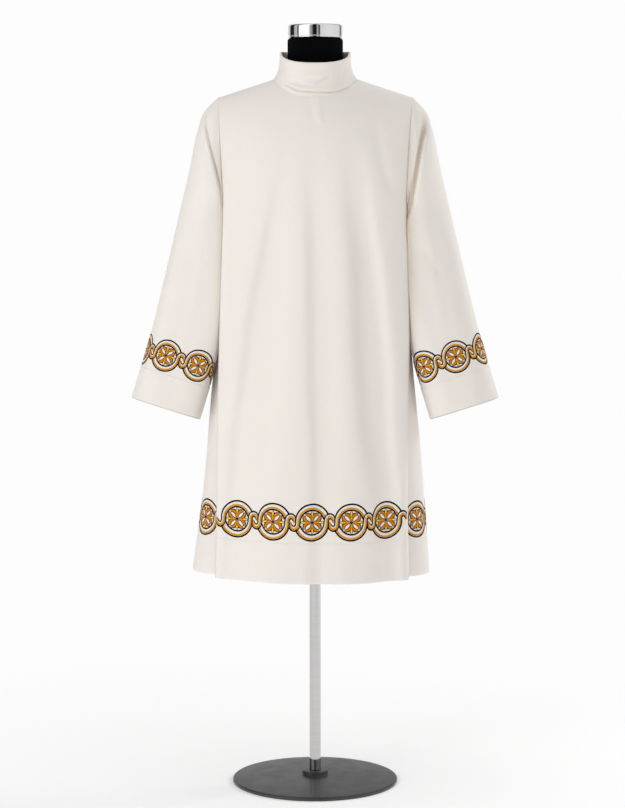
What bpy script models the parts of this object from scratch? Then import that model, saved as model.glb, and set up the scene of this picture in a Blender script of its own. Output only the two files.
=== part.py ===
"""A surplice on a limbless dress form.

Metres, +Z up, the front faces -Y. The origin is on the floor, in the middle of the stand's base.
Left and right are as seen from the front, so left is -X.

The cloth pieces are sheets worked out from the garment's sizes, each given its thickness by Solidify:
a front and a back that meet along the shoulders, a side gore under each arm with a pleat at the front
and at the back, two set-in sleeves and a standing collar. The form carries the cloth on its shoulders.
"""
import math

import bpy
import numpy as np

# Cloth
WALL = 0.0016             # one layer of cloth
HEM_WALL = 0.0026         # two layers, where a hem is turned up
COLLAR_WALL = 0.0024      # the collar is folded double
HEM_HEIGHT = 0.466        # bottom edge of the garment above the floor
HEM_DEPTH = 0.085         # turned-up hem of the body
CUFF_HEM_DEPTH = 0.070    # turned-up hem of the sleeves
SEAM = 0.0003             # space left between two pieces at a seam

# Shoulder line, where the front meets the back: highest in the middle and falling to each side
RIDGE_TOP = 1.5565
RIDGE_SLOPE = 0.336
RIDGE_ROUND = 0.02
RIDGE_BACK = 0.030        # how far behind the middle the line lies at the neck
RIDGE_SPAN = 0.24         # half width over which it comes forward again

# Neckline, seen from above
NECK_HALF_WIDTH = 0.0898
NECK_FRONT = 0.0865
NECK_BACK = 0.075
NECK_POWER = 2.5
NECK_SIDE_DEPTH = RIDGE_BACK * (1 - (NECK_HALF_WIDTH / RIDGE_SPAN) ** 2)

# Rounding from the shoulder line down to the chest and to the upper back
ROUND_POWER = 2.4
ROUND_DROP_FRONT = 0.286
ROUND_DROP_BACK = 0.262
ROUND_DROP_EDGE = 0.190
ROUND_EDGE_AT = 0.2       # half width where the drop has become that of the edge
ROUND_EDGE_POWER = 1.3
PANEL_POWER = 2.4         # how late a panel falls back towards its edge

# Body sections, hem first: height, shift of the middle to the right, half width of the front and
# back panels, depth of the front in its middle, how much less it is at its edge, the same for the back
SECTIONS = np.array([
    (0.466, -0.0070, 0.2060, 0.183, 0.061, 0.172, 0.060),
    (0.607, -0.0065, 0.2030, 0.175, 0.059, 0.163, 0.058),
    (0.785, -0.0055, 0.2025, 0.165, 0.057, 0.152, 0.056),
    (0.990, -0.0020, 0.2010, 0.153, 0.053, 0.140, 0.053),
    (1.130, -0.0015, 0.1975, 0.144, 0.051, 0.131, 0.050),
    (1.283, -0.0012, 0.1941, 0.1355, 0.050, 0.125, 0.047),
    (1.400, -0.0010, 0.2000, 0.1345, 0.050, 0.124, 0.047),
    (1.486, 0.0010, 0.2065, 0.1345, 0.050, 0.124, 0.047),
], dtype=[(name, "f8") for name in (
    "height", "shift", "panel_half", "front_mid", "front_fall", "back_mid", "back_fall")])

# Side gores, hem first: height, half width of the garment at the sides, how far the pleat goes in
# behind a panel's edge, how far the gore lies behind that edge there
GORE_POWER = 2.5
GORE_TOP = 1.252
GORES = np.array([
    (0.466, 0.2575, 0.041, 0.024),
    (0.610, 0.2419, 0.035, 0.021),
    (0.785, 0.2255, 0.027, 0.017),
    (0.990, 0.2065, 0.018, 0.0135),
    (1.252, 0.1885, 0.012, 0.009),
], dtype=[(name, "f8") for name in ("height", "side_half", "pleat_in", "pleat_behind")])
FOLD_RADIUS = 0.003

# Long folds of the front: place from the middle at four heights, depth, half width
FOLD_HEIGHTS = (1.30, 1.13, 0.80, 0.466)
FRONT_FOLDS = np.array([
    (-0.064, -0.095, -0.143, -0.132, 0.0075, 0.030),
    (0.012, 0.012, 0.016, 0.018, 0.0035, 0.034),
    (0.090, 0.094, 0.116, 0.150, 0.0075, 0.030),
], dtype=[(name, "f8") for name in ("at_chest", "at_waist", "at_knee", "at_hem", "depth", "half_width")])
BACK_FOLDS = np.array([
    (-0.055, -0.075, -0.110, -0.120, 0.0075, 0.032),
    (0.020, 0.010, -0.010, -0.015, 0.0050, 0.036),
    (0.075, 0.085, 0.105, 0.125, 0.0070, 0.030),
], dtype=FRONT_FOLDS.dtype)
FOLD_RISE = 1.35          # how soon the cloth rises again beside a fold
FOLD_FADE = 0.25          # share of the half width over which the folds fade towards a panel's edge
# How strongly the long folds show at each height
FOLD_STRENGTH = np.array([
    (0.466, 0.60), (0.70, 1.15), (0.99, 1.0), (1.20, 0.75), (1.31, 0.25), (1.38, 0.0),
], dtype=[("height", "f8"), ("strength", "f8")])

# Right sleeve, armhole first: share of its length, outer edge, inner edge, depth to the front and to
# the back of its middle, and how far the middle hangs forward
SLEEVE = np.array([
    (0.000, 0.2078, 1.4860, 0.1897, 1.2550, 0.086, 0.082, 0.000),
    (0.068, 0.2382, 1.4525, 0.1860, 1.2500, 0.086, 0.082, 0.001),
    (0.122, 0.2500, 1.4180, 0.1830, 1.2430, 0.086, 0.081, 0.002),
    (0.254, 0.2683, 1.3320, 0.1750, 1.2150, 0.081, 0.077, 0.006),
    (0.404, 0.2915, 1.2340, 0.1700, 1.1600, 0.076, 0.073, 0.012),
    (0.594, 0.3205, 1.1100, 0.1780, 1.0580, 0.072, 0.070, 0.021),
    (0.779, 0.3504, 0.9895, 0.2060, 0.9420, 0.070, 0.068, 0.030),
    (1.000, 0.3925, 0.8476, 0.2468, 0.8020, 0.069, 0.068, 0.040),
], dtype=[(name, "f8") for name in (
    "share", "outer_x", "outer_z", "inner_x", "inner_z", "front", "back", "forward")])
SLEEVE_LENGTH = 0.670
SLEEVE_ROUND_OUT = 0.30   # share of the length over which the armhole turns into a round tube
SLEEVE_ROUND_TOP = 0.06   # the same along the outer and the inner edge
SLEEVE_TILT = 0.085       # how much higher the front of the cuff is, for each metre of depth
SLEEVE_CLEAR = 0.0030     # middle of the sleeve's cloth from the body's
SLEEVE_SOFT = 0.006       # softness of the bend where the sleeve lies against the body
SLEEVE_CLEAR_START = 0.03 # share of the length over which the sleeve comes clear of the body
SLEEVE_CLEAR_RISE = 0.05  # height above the gore over which it keeps clear less and less
ARMHOLE_SPACE = 0.0013    # middle of the sleeve's cloth from the panels' edges
SLEEVE_STAND = 0.012      # how far the cloth runs straight out from the seam before it turns down
SLEEVE_STAND_SHARE = 0.07
ARMHOLE_LOW = 1.262       # where the front edge ends and the underarm begins
ARMHOLE_EDGE_SHARE = 0.75
ARMHOLE_POWER = 1.6       # how much closer the points lie near the shoulder
# Crease that slants from the top of the sleeve to the seam; the cloth outside it stands forward
CREASE_TOP = (0.234, 1.430)
CREASE_END = (0.197, 1.280)
CREASE_STEP = 0.009
CREASE_HALF_WIDTH = 0.010
CREASE_REACH = 0.050
CREASE_LOW = 1.25         # heights where it begins and ends, and over how much it fades in
CREASE_HIGH = 1.46
CREASE_FADE = 0.045
CREASE_START = 0.05       # share of the length over which it grows from the seam

# Collar
COLLAR_TOP_HALF_WIDTH = 0.0747
COLLAR_TOP_FRONT = 0.080
COLLAR_TOP_BACK = 0.068
COLLAR_TOP_HEIGHT = 1.5838
COLLAR_TOP_RISE = 0.325   # rise of the top edge from the front to the sides, for each metre
COLLAR_BACK_RISE = 0.02   # rise of the top edge from the sides to the back
COLLAR_TOP_BEND = 0.012   # softness of the bend between them
COLLAR_FLARE = 3.4
COLLAR_LIFT = 0.0018      # bottom edge above the neckline

# Dress form: height, half width, depth to the front and to the back, squareness of the outline
FORM_UNDERSIDE = 0.800
FORM = np.array([
    (0.800, 0.145, 0.094, 0.090, 2.3),
    (0.812, 0.160, 0.108, 0.104, 2.4),
    (0.860, 0.168, 0.116, 0.112, 2.4),
    (0.940, 0.166, 0.114, 0.110, 2.4),
    (1.050, 0.156, 0.104, 0.100, 2.4),
    (1.160, 0.163, 0.110, 0.102, 2.4),
    (1.280, 0.178, 0.119, 0.108, 2.4),
    (1.370, 0.192, 0.115, 0.108, 2.4),
    (1.420, 0.199, 0.104, 0.103, 2.3),
    (1.455, 0.200, 0.090, 0.094, 2.1),
    (1.475, 0.196, 0.078, 0.086, 1.9),
], dtype=[(name, "f8") for name in ("height", "half_width", "front", "back", "power")])
FORM_SHOULDER_HEIGHTS = (1.490, 1.502, 1.512, 1.520)
FORM_SHOULDER_FRONT = 0.060
FORM_SHOULDER_BACK = 0.066
FORM_SHOULDER_POWER = 1.7
FORM_LEAN_HEIGHT = 1.30    # above it the form's middle moves back towards the shoulder line
FORM_LEAN_RISE = 0.17
# Where the neck grows out of the shoulders: height, half width, middle, front, back, squareness
FORM_NECK_ROOT = (1.527, 0.072, 0.010, 0.059, 0.061, 1.9)
FORM_NECK_LOW = 1.545
FORM_UNDER_CLOTH = 0.0018  # shoulders of the form below the middle of the cloth
NECK_RADIUS = 0.0590
NECK_TOP = 1.6115
NECK_EDGE = 0.006
NECK_BEND = 0.3            # share of the rounded edge at its middle ring
CAP_RADIUS = 0.0575
CAP_TOP = 1.641
CAP_EDGE = 0.004

# Stand
POLE_RADIUS = 0.0125
BASE_RADIUS = 0.180
BASE_RIM = 0.008
BASE_HUB_RADIUS = 0.028
BASE_HUB_HEIGHT = 0.024
BASE_CROWN = 0.015         # height of the disc where it meets the hub
BASE_BEND = 0.004

# Number of points across or round each sheet, and down it
FRONT_COLUMNS = 25
BACK_COLUMNS = 21
PANEL_ROWS = 19
NECK_COLUMNS = 0.5        # share of a panel's columns that start on the neckline
SPREAD_SHARE = 0.42       # share of a panel's rows over which its columns spread evenly
SHOULDER_EDGE = 1.5 * SEAM
GORE_EDGE = 2 * SEAM
GORE_ARC_COLUMNS = 9
GORE_ROWS = 9
SLEEVE_COLUMNS = 20
SLEEVE_SHARES = (0.0, 0.02, 0.05, 0.09, 0.14, 0.20, 0.28, 0.38, 0.50, 0.63, 0.76,
                 1 - CUFF_HEM_DEPTH / SLEEVE_LENGTH, 1.0)
COLLAR_COLUMNS = 32
COLLAR_ROWS = 5
FORM_COLUMNS = 24
ROUND_SIDES = 40
SHARP_ANGLE = math.radians(40)
CAP_TURNS = (30, 60, 90)

PARTS = "surplice_on_a_dress_form"


# Helpers for tables and curves

def column(table, name, at, key="height"):
    """Cubic curve through one column of a table; a row's slope is the mean of its two sides."""
    keys = table[key]
    values = table[name]
    slopes = np.gradient(values, keys)
    at = np.clip(at, keys[0], keys[-1])
    row = np.clip(np.searchsorted(keys, at) - 1, 0, len(keys) - 2)
    step = keys[row + 1] - keys[row]
    t = (at - keys[row]) / step
    start = (2 * t ** 3 - 3 * t ** 2 + 1) * values[row] + (t ** 3 - 2 * t ** 2 + t) * step * slopes[row]
    end = (3 * t ** 2 - 2 * t ** 3) * values[row + 1] + (t ** 3 - t ** 2) * step * slopes[row + 1]
    return start + end


def ease(t):
    """Zero below 0, one above 1 and a soft S between."""
    t = np.clip(t, 0.0, 1.0)
    return t * t * (3 - 2 * t)


def mix(a, b, share):
    return a + (b - a) * share


# Shape of the body

def ridge_height(x):
    """Height of the shoulder line."""
    return RIDGE_TOP - RIDGE_SLOPE * np.sqrt(x ** 2 + RIDGE_ROUND ** 2)


def ridge_depth(x):
    """Depth of the shoulder line."""
    return RIDGE_BACK * (1 - (x / RIDGE_SPAN) ** 2)


def ridge_reach(height):
    """Half width of the shoulder line at a height."""
    return math.sqrt(((RIDGE_TOP - height) / RIDGE_SLOPE) ** 2 - RIDGE_ROUND ** 2)


def round_drop(x, side):
    """How far below the shoulder line a panel has reached its full depth."""
    middle = ROUND_DROP_FRONT if side < 0 else ROUND_DROP_BACK
    return mix(middle, ROUND_DROP_EDGE, np.minimum(np.abs(x) / ROUND_EDGE_AT, 1.0) ** ROUND_EDGE_POWER)


def full_depth(x, z, side):
    """Depth of a panel below the chest: a flat curve that falls back towards the edge."""
    name = "front" if side < 0 else "back"
    edge = np.abs(x) / column(SECTIONS, "panel_half", z)
    fall = column(SECTIONS, name + "_fall", z) * edge ** PANEL_POWER
    return side * (column(SECTIONS, name + "_mid", z) - fall)


def fold_relief(x, z, folds):
    """Soft troughs that wander down a panel, each with a slight rise beside it."""
    relief = 0.0 * x
    for fold in folds:
        places = [fold["at_hem"], fold["at_knee"], fold["at_waist"], fold["at_chest"]]
        middle = np.interp(z, FOLD_HEIGHTS[::-1], places)
        away = (x - middle) / fold["half_width"]
        relief = relief + fold["depth"] * np.exp(-0.5 * away ** 2) * np.cos(FOLD_RISE * away)
    return relief * column(FOLD_STRENGTH, "strength", z)


def panel_depth(x, z, side):
    """Depth of the front (side -1) or the back (side +1) at a place from its middle and a height."""
    drop = np.clip((ridge_height(x) - z) / round_drop(x, side), 0.0, 1.0)
    rounding = (1 - (1 - drop) ** ROUND_POWER) ** (1 / ROUND_POWER)
    depth = mix(ridge_depth(x), full_depth(x, z, side), rounding)
    folds = FRONT_FOLDS if side < 0 else BACK_FOLDS
    edge_fade = ease((1 - np.abs(x) / column(SECTIONS, "panel_half", z)) / FOLD_FADE)
    return depth - side * fold_relief(x, z, folds) * edge_fade


def neckline(angle):
    """Neckline at an angle from the front (0) over a side (half pi) to the back (pi).

    From above it is a rounded oblong; its height is where the panel's rounding has that depth.
    """
    across = np.sign(np.sin(angle)) * np.abs(np.sin(angle)) ** (2 / NECK_POWER)
    along = np.abs(np.cos(angle)) ** (2 / NECK_POWER)
    x = NECK_HALF_WIDTH * across
    side = np.where(np.cos(angle) > 0, -1.0, 1.0)
    reach = np.where(side < 0, NECK_FRONT + NECK_SIDE_DEPTH, NECK_BACK - NECK_SIDE_DEPTH)
    y = NECK_SIDE_DEPTH + side * reach * along
    shoulder_end = SECTIONS["height"][-1]
    full = np.where(side < 0, full_depth(x, shoulder_end, -1), full_depth(x, shoulder_end, 1))
    rounding = np.clip((y - ridge_depth(x)) / (full - ridge_depth(x)), 0.0, 1.0)
    drop = 1 - (1 - rounding ** ROUND_POWER) ** (1 / ROUND_POWER)
    span = np.where(side < 0, round_drop(x, -1), round_drop(x, 1))
    return x, y, ridge_height(x) - span * drop


def panel_points(side, columns, rows):
    """Front or back panel: rows run from the neckline and shoulder line down to the hem.

    The middle columns start on the neckline and the others on the shoulder line. They spread evenly
    over the panel's width a little below.
    """
    u = np.linspace(-1, 1, columns)
    on_neck = np.minimum(np.abs(u) / NECK_COLUMNS, 1.0)
    angle = on_neck * math.pi / 2
    neck_x, neck_y, neck_z = neckline(angle if side < 0 else math.pi - angle)
    shoulder_share = np.maximum(np.abs(u) - NECK_COLUMNS, 0.0) / (1 - NECK_COLUMNS)
    shoulder_end = SECTIONS["panel_half"][-1]
    top_x = np.sign(u) * mix(neck_x, shoulder_end, shoulder_share)
    top_z = np.where(shoulder_share > 0, ridge_height(top_x), neck_z)
    v = np.linspace(0, 1, rows)[:, None]
    fall = v ** 2
    fall[-2] = 1 - HEM_DEPTH / (ridge_height(NECK_HALF_WIDTH) - HEM_HEIGHT)
    z = mix(top_z[None, :], HEM_HEIGHT, fall)
    spread = ease(v / SPREAD_SHARE)
    across = mix(top_x[None, :] / shoulder_end, u[None, :], spread)
    x = across * column(SECTIONS, "panel_half", z)
    y = panel_depth(x, z, side)
    y[0] = np.where(on_neck < 1, neck_y, ridge_depth(top_x) + side * SHOULDER_EDGE)
    return np.stack([x + column(SECTIONS, "shift", z), y, z], axis=2)


def panel_edge(z, side):
    """Outer edge of the front or the back at a height, before the shift."""
    x = column(SECTIONS, "panel_half", z)
    return x, panel_depth(x, z, side)


def gore_points(rows):
    """Right gore: from behind the front's edge, in, round the pleat's inner fold, round the side to
    the pleat at the back."""
    z = np.linspace(GORE_TOP, HEM_HEIGHT + HEM_DEPTH, rows - 1)
    z = np.append(z, HEM_HEIGHT)
    side_half = column(GORES, "side_half", z)
    halves = []
    for side in (-1, 1):
        edge_x, edge_y = panel_edge(z, side)
        behind = edge_y - side * (HEM_WALL + SEAM)
        fold_x = edge_x - column(GORES, "pleat_in", z)
        fold_y = edge_y - side * column(GORES, "pleat_behind", z)
        oval = np.abs(fold_y) / (1 - (fold_x / side_half) ** GORE_POWER) ** (1 / GORE_POWER)
        start = [(edge_x - GORE_EDGE, behind)]
        for turn in (0.0, 0.5, 1.0):
            angle = math.pi * (turn - 0.5)
            start.append((fold_x - FOLD_RADIUS * math.cos(angle),
                          fold_y + side * FOLD_RADIUS * (1 - math.sin(angle))))
        fold_angle = np.arccos((fold_x / side_half) ** (GORE_POWER / 2))
        arc = []
        for share in np.linspace(0, 1, GORE_ARC_COLUMNS)[1:]:
            angle = fold_angle * (1 - share)
            arc.append((side_half * np.cos(angle) ** (2 / GORE_POWER),
                        side * oval * np.sin(angle) ** (2 / GORE_POWER)))
        halves.append(start + arc)
    path = halves[0] + halves[1][-2::-1]
    x = np.stack([point[0] for point in path], axis=1)
    y = np.stack([point[1] for point in path], axis=1)
    heights = np.repeat(z[:, None], x.shape[1], axis=1)
    return np.stack([x, y, heights], axis=2)


# Shape of the sleeves

def armhole_points(share):
    """Armhole, from the shoulder (0) down a panel's edge to the middle of the underarm (1).

    Positive shares run down the front's edge and negative ones down the back's.
    """
    side = np.where(share >= 0, -1.0, 1.0)
    share = np.abs(share)
    down = np.minimum(share / ARMHOLE_EDGE_SHARE, 1.0) ** ARMHOLE_POWER
    top = ridge_height(SECTIONS["panel_half"][-1])
    edge_z = mix(top, ARMHOLE_LOW, down)
    edge_x = column(SECTIONS, "panel_half", edge_z)
    edge_y = np.where(side < 0, panel_depth(edge_x, edge_z, -1), panel_depth(edge_x, edge_z, 1))
    under = np.clip((share - ARMHOLE_EDGE_SHARE) / (1 - ARMHOLE_EDGE_SHARE), 0.0, 1.0)
    x = mix(edge_x + ARMHOLE_SPACE, SLEEVE["inner_x"][0], ease(under))
    y = edge_y * (1 - under)
    z = mix(edge_z, SLEEVE["inner_z"][0], ease(2 * under))
    return x, y, z


def sleeve_points(shares, columns, side):
    """Right sleeve (side +1), or the left one (side -1) turned over to the right.

    Rings run from the armhole to the cuff. A ring is an oval through the outer edge, the front, the
    inner edge and the back. The first rings are mixed with the armhole's outline, and the inner side
    is kept outside the body.
    """
    share = np.asarray(shares)[:, None]
    angle = np.linspace(0, 2 * math.pi, columns, endpoint=False)[None, :]
    turn = np.where(angle <= math.pi, angle / math.pi, angle / math.pi - 2)
    hole_x, hole_y, hole_z = armhole_points(turn)
    hole_x = hole_x + side * column(SECTIONS, "shift", hole_z)
    outer_x, outer_z, inner_x, inner_z, front, back, forward = [
        column(SLEEVE, name, share, key="share")
        for name in ("outer_x", "outer_z", "inner_x", "inner_z", "front", "back", "forward")]
    lean = (1 + np.cos(angle)) / 2
    depth = np.where(angle <= math.pi, front, back) * np.sin(angle)
    x = mix(inner_x, outer_x, lean)
    y = -forward - depth
    z = mix(inner_z, outer_z, lean) + SLEEVE_TILT * depth * share
    settle = ease(share / mix(SLEEVE_ROUND_TOP, SLEEVE_ROUND_OUT, np.sin(angle) ** 2))
    stand = SLEEVE_STAND * np.minimum(share / SLEEVE_STAND_SHARE, 1.0) * np.sin(angle) ** 2
    x = mix(hole_x + stand, x, settle)
    y = mix(hole_y, y, settle)
    z = mix(hole_z, z, settle)

    crease_x = np.interp(z, (CREASE_END[1], CREASE_TOP[1]), (CREASE_END[0], CREASE_TOP[0]))
    outside = x - crease_x
    along = ease((z - CREASE_LOW) / CREASE_FADE) * ease((CREASE_HIGH - z) / CREASE_FADE)
    step = CREASE_STEP * ease(0.5 + outside / (2 * CREASE_HALF_WIDTH))
    step = step * np.exp(-(outside / CREASE_REACH) ** 2)
    facing = np.clip(np.sin(angle), 0.0, 1.0)
    y = y - step * along * facing * ease(share / CREASE_START)

    body_half = np.maximum(column(SECTIONS, "panel_half", z), column(GORES, "side_half", z))
    limit = body_half + side * column(SECTIONS, "shift", z) + SLEEVE_CLEAR
    clear = x - limit
    pushed = limit + 0.5 * (clear + np.sqrt(clear ** 2 + SLEEVE_SOFT ** 2))
    beside = ease((GORE_TOP + SLEEVE_CLEAR_RISE - z) / SLEEVE_CLEAR_RISE)
    x = mix(x, pushed, ease(share / SLEEVE_CLEAR_START) * beside)
    return np.stack([x, y, z], axis=2)


# Shape of the collar

def collar_points(rows, columns):
    """Collar: rings from the neckline up to its top edge, which is narrower and lowest in front."""
    angle = np.linspace(0, 2 * math.pi, columns, endpoint=False)
    base_x, base_y, base_z = neckline(angle)
    across = np.sign(np.sin(angle)) * np.abs(np.sin(angle)) ** (2 / NECK_POWER)
    along = np.sign(np.cos(angle)) * np.abs(np.cos(angle)) ** (2 / NECK_POWER)
    top_x = COLLAR_TOP_HALF_WIDTH * across
    top_y = -np.where(along > 0, COLLAR_TOP_FRONT, COLLAR_TOP_BACK) * along
    before = (np.sqrt(top_y ** 2 + COLLAR_TOP_BEND ** 2) - top_y) / 2
    top_z = COLLAR_TOP_HEIGHT + COLLAR_BACK_RISE * top_y - (COLLAR_TOP_RISE - COLLAR_BACK_RISE) * before
    up = np.linspace(0, 1, rows)[:, None]
    narrowed = 1 - (1 - up) ** COLLAR_FLARE
    x = mix(base_x, top_x, narrowed)
    y = mix(base_y, top_y, narrowed)
    z = mix(base_z + COLLAR_LIFT, top_z, up)
    return np.stack([x, y, z], axis=2)


# Shape of the dress form

def form_points(columns):
    """Rings of the form, from its underside over the shoulders to the rounded top of the neck."""
    angle = np.linspace(0, 2 * math.pi, columns, endpoint=False)
    rings = []

    def ring(height, half_width, middle, front, back, power):
        across = np.sign(np.cos(angle)) * np.abs(np.cos(angle)) ** (2 / power)
        along = np.sign(np.sin(angle)) * np.abs(np.sin(angle)) ** (2 / power)
        y = middle + np.where(along < 0, (front + middle) * along, (back - middle) * along)
        rings.append(np.stack([half_width * across, y, np.full(columns, height)], axis=1))

    for row in FORM:
        lean = ease((row["height"] - FORM_LEAN_HEIGHT) / FORM_LEAN_RISE)
        middle = lean * ridge_depth(row["half_width"])
        ring(row["height"], row["half_width"], middle, row["front"], row["back"], row["power"])
    for height in FORM_SHOULDER_HEIGHTS:
        reach = ridge_reach(height + FORM_UNDER_CLOTH)
        ring(height, reach, ridge_depth(reach), FORM_SHOULDER_FRONT, FORM_SHOULDER_BACK, FORM_SHOULDER_POWER)
    ring(*FORM_NECK_ROOT)
    neck_heights = (FORM_NECK_LOW, NECK_TOP - NECK_EDGE, NECK_TOP - NECK_BEND * NECK_EDGE, NECK_TOP)
    neck_radii = (NECK_RADIUS, NECK_RADIUS, NECK_RADIUS - NECK_BEND * NECK_EDGE, NECK_RADIUS - NECK_EDGE)
    for height, radius in zip(neck_heights, neck_radii):
        ring(height, radius, 0.0, radius, radius, 2.0)
    return np.stack(rings)


# Making objects

def make_material(name, colour, roughness, metallic=0.0):
    material = bpy.data.materials.new(name)
    material.use_nodes = True
    shader = material.node_tree.nodes["Principled BSDF"]
    shader.inputs["Base Color"].default_value = (*colour, 1.0)
    shader.inputs["Roughness"].default_value = roughness
    shader.inputs["Metallic"].default_value = metallic
    return material


def add_object(name, mesh, material, collection, parent):
    piece = bpy.data.objects.new(name, mesh)
    mesh.materials.append(material)
    collection.objects.link(piece)
    piece.parent = parent
    mesh.shade_smooth()
    return piece


def grid_faces(rows, columns, closed):
    """Faces between the points of a grid; a closed one joins its last column to its first."""
    index = np.arange(rows * columns).reshape(rows, columns)
    if closed:
        index = np.concatenate([index, index[:, :1]], axis=1)
    faces = np.stack([index[:-1, :-1], index[1:, :-1], index[1:, 1:], index[:-1, 1:]], axis=2)
    return faces.reshape(-1, 4).tolist()


def make_mesh(name, points, faces):
    mesh = bpy.data.meshes.new(name)
    mesh.from_pydata(points.reshape(-1, 3).tolist(), [], faces)
    return mesh


def add_sheet(name, points, material, collection, parent, closed=False, wall=WALL, hem_rows=0):
    """A cloth piece: a sheet with its thickness, twice as thick where the last rows are a hem."""
    rows, columns = points.shape[:2]
    mesh = make_mesh(name, points, grid_faces(rows, columns, closed))
    piece = add_object(name, mesh, material, collection, parent)
    solid = piece.modifiers.new("thickness", "SOLIDIFY")
    solid.thickness = wall
    solid.offset = 0.0
    if hem_rows:
        hem = piece.vertex_groups.new(name="hem")
        hem.add(list(range((rows - hem_rows) * columns, rows * columns)), 1.0, "REPLACE")
        solid.thickness = HEM_WALL
        solid.vertex_group = "hem"
        solid.thickness_vertex_group = WALL / HEM_WALL
    return piece


def add_lofted(name, rings, material, collection, parent):
    """A closed body through a stack of rings, with a flat face over its first and its last."""
    rows, columns = rings.shape[:2]
    faces = grid_faces(rows, columns, closed=True)
    faces.append(list(range(columns)))
    faces.append(list(range(rows * columns - 1, (rows - 1) * columns - 1, -1)))
    return add_object(name, make_mesh(name, rings[:, ::-1], faces), material, collection, parent)


def add_turned(name, profile, material, collection, parent):
    """A body turned round the Z axis from a profile that runs down its outer side."""
    mesh = bpy.data.meshes.new(name)
    points = [(radius, 0.0, height) for radius, height in profile]
    mesh.from_pydata(points, [(i, i + 1) for i in range(len(points) - 1)], [])
    piece = add_object(name, mesh, material, collection, parent)
    screw = piece.modifiers.new("turn", "SCREW")
    screw.steps = ROUND_SIDES
    screw.render_steps = ROUND_SIDES
    screw.use_merge_vertices = True
    screw.merge_threshold = 0.00001
    screw.use_smooth_shade = True
    return piece


def add_pole(name, low, high, material, collection, parent):
    bpy.ops.mesh.primitive_cylinder_add(
        vertices=ROUND_SIDES // 2, radius=POLE_RADIUS, depth=high - low, location=(0, 0, (low + high) / 2))
    piece = bpy.context.object
    piece.name = name
    piece.data.materials.append(material)
    for other in list(piece.users_collection):
        other.objects.unlink(piece)
    collection.objects.link(piece)
    piece.parent = parent
    piece.data.shade_smooth()
    piece.data.set_sharp_from_angle(angle=SHARP_ANGLE)
    return piece


def mirrored(points):
    """The same sheet on the other side, its columns reversed so that it faces out."""
    return points[:, ::-1] * np.array([-1.0, 1.0, 1.0])


def with_shift(points):
    """Moves a sheet sideways by the body's shift at each height."""
    shift = column(SECTIONS, "shift", points[:, :, 2])
    return points + np.stack([shift, 0 * shift, 0 * shift], axis=2)


def build_cloth(collection, parent):
    for name, side, columns in (("front", -1, FRONT_COLUMNS), ("back", 1, BACK_COLUMNS)):
        points = panel_points(side, columns, PANEL_ROWS)
        if side > 0:
            points = points[:, ::-1]
        cloth = make_material(name + "_cloth", (0.86, 0.83, 0.77), 0.85)
        add_sheet(name, points, cloth, collection, parent, hem_rows=2)

    gore = gore_points(GORE_ROWS)
    for suffix, side in (("left", -1), ("right", 1)):
        gore_side = with_shift(mirrored(gore) if side < 0 else gore)
        cloth = make_material("gore_" + suffix + "_cloth", (0.84, 0.81, 0.75), 0.85)
        add_sheet("gore_" + suffix, gore_side, cloth, collection, parent, hem_rows=2)
        sleeve = sleeve_points(SLEEVE_SHARES, SLEEVE_COLUMNS, side)
        sleeve = mirrored(sleeve) if side < 0 else sleeve
        cloth = make_material("sleeve_" + suffix + "_cloth", (0.86, 0.83, 0.77), 0.85)
        add_sheet("sleeve_" + suffix, sleeve, cloth, collection, parent, closed=True, hem_rows=2)

    collar = collar_points(COLLAR_ROWS, COLLAR_COLUMNS)
    cloth = make_material("collar_cloth", (0.87, 0.84, 0.78), 0.8)
    add_sheet("collar", collar, cloth, collection, parent, closed=True, wall=COLLAR_WALL)


def build_form(collection, parent):
    jersey = make_material("form_jersey", (0.012, 0.012, 0.014), 0.9)
    add_lofted("form_torso", form_points(FORM_COLUMNS), jersey, collection, parent)

    chrome = make_material("cap_chrome", (0.75, 0.75, 0.77), 0.12, 1.0)
    low = NECK_TOP + SEAM
    cap = [(0.0, CAP_TOP), (CAP_RADIUS - CAP_EDGE, CAP_TOP)]
    for turn in CAP_TURNS:
        angle = math.radians(turn)
        radius = CAP_RADIUS - CAP_EDGE * (1 - math.sin(angle))
        cap.append((radius, CAP_TOP - CAP_EDGE * (1 - math.cos(angle))))
    cap += [(CAP_RADIUS, low + CAP_EDGE / 4), (CAP_RADIUS - CAP_EDGE / 4, low), (0.0, low)]
    add_turned("neck_cap", cap, chrome, collection, parent)


def build_stand(collection, parent):
    steel = make_material("pole_steel", (0.70, 0.70, 0.72), 0.2, 1.0)
    add_pole("pole", BASE_HUB_HEIGHT + SEAM, FORM_UNDERSIDE - SEAM, steel, collection, parent)

    paint = make_material("base_paint", (0.02, 0.02, 0.022), 0.45)
    base = [
        (0.0, BASE_HUB_HEIGHT),
        (BASE_HUB_RADIUS - BASE_BEND, BASE_HUB_HEIGHT),
        (BASE_HUB_RADIUS, BASE_HUB_HEIGHT - BASE_BEND),
        (BASE_HUB_RADIUS + BASE_BEND, BASE_CROWN),
        (BASE_RADIUS / 2, (BASE_CROWN + BASE_RIM) / 2),
        (BASE_RADIUS - BASE_RIM, BASE_RIM),
        (BASE_RADIUS - BASE_RIM / 4, BASE_RIM * 3 / 4),
        (BASE_RADIUS, BASE_RIM / 2),
        (BASE_RADIUS - BASE_RIM / 8, 0.0),
        (0.0, 0.0),
    ]
    add_turned("base", base, paint, collection, parent)


def main():
    for piece in list(bpy.data.objects):
        bpy.data.objects.remove(piece, do_unlink=True)
    collection = bpy.data.collections.new(PARTS)
    bpy.context.scene.collection.children.link(collection)
    parent = bpy.data.objects.new("origin", None)
    collection.objects.link(parent)
    build_cloth(collection, parent)
    build_form(collection, parent)
    build_stand(collection, parent)


main()
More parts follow.
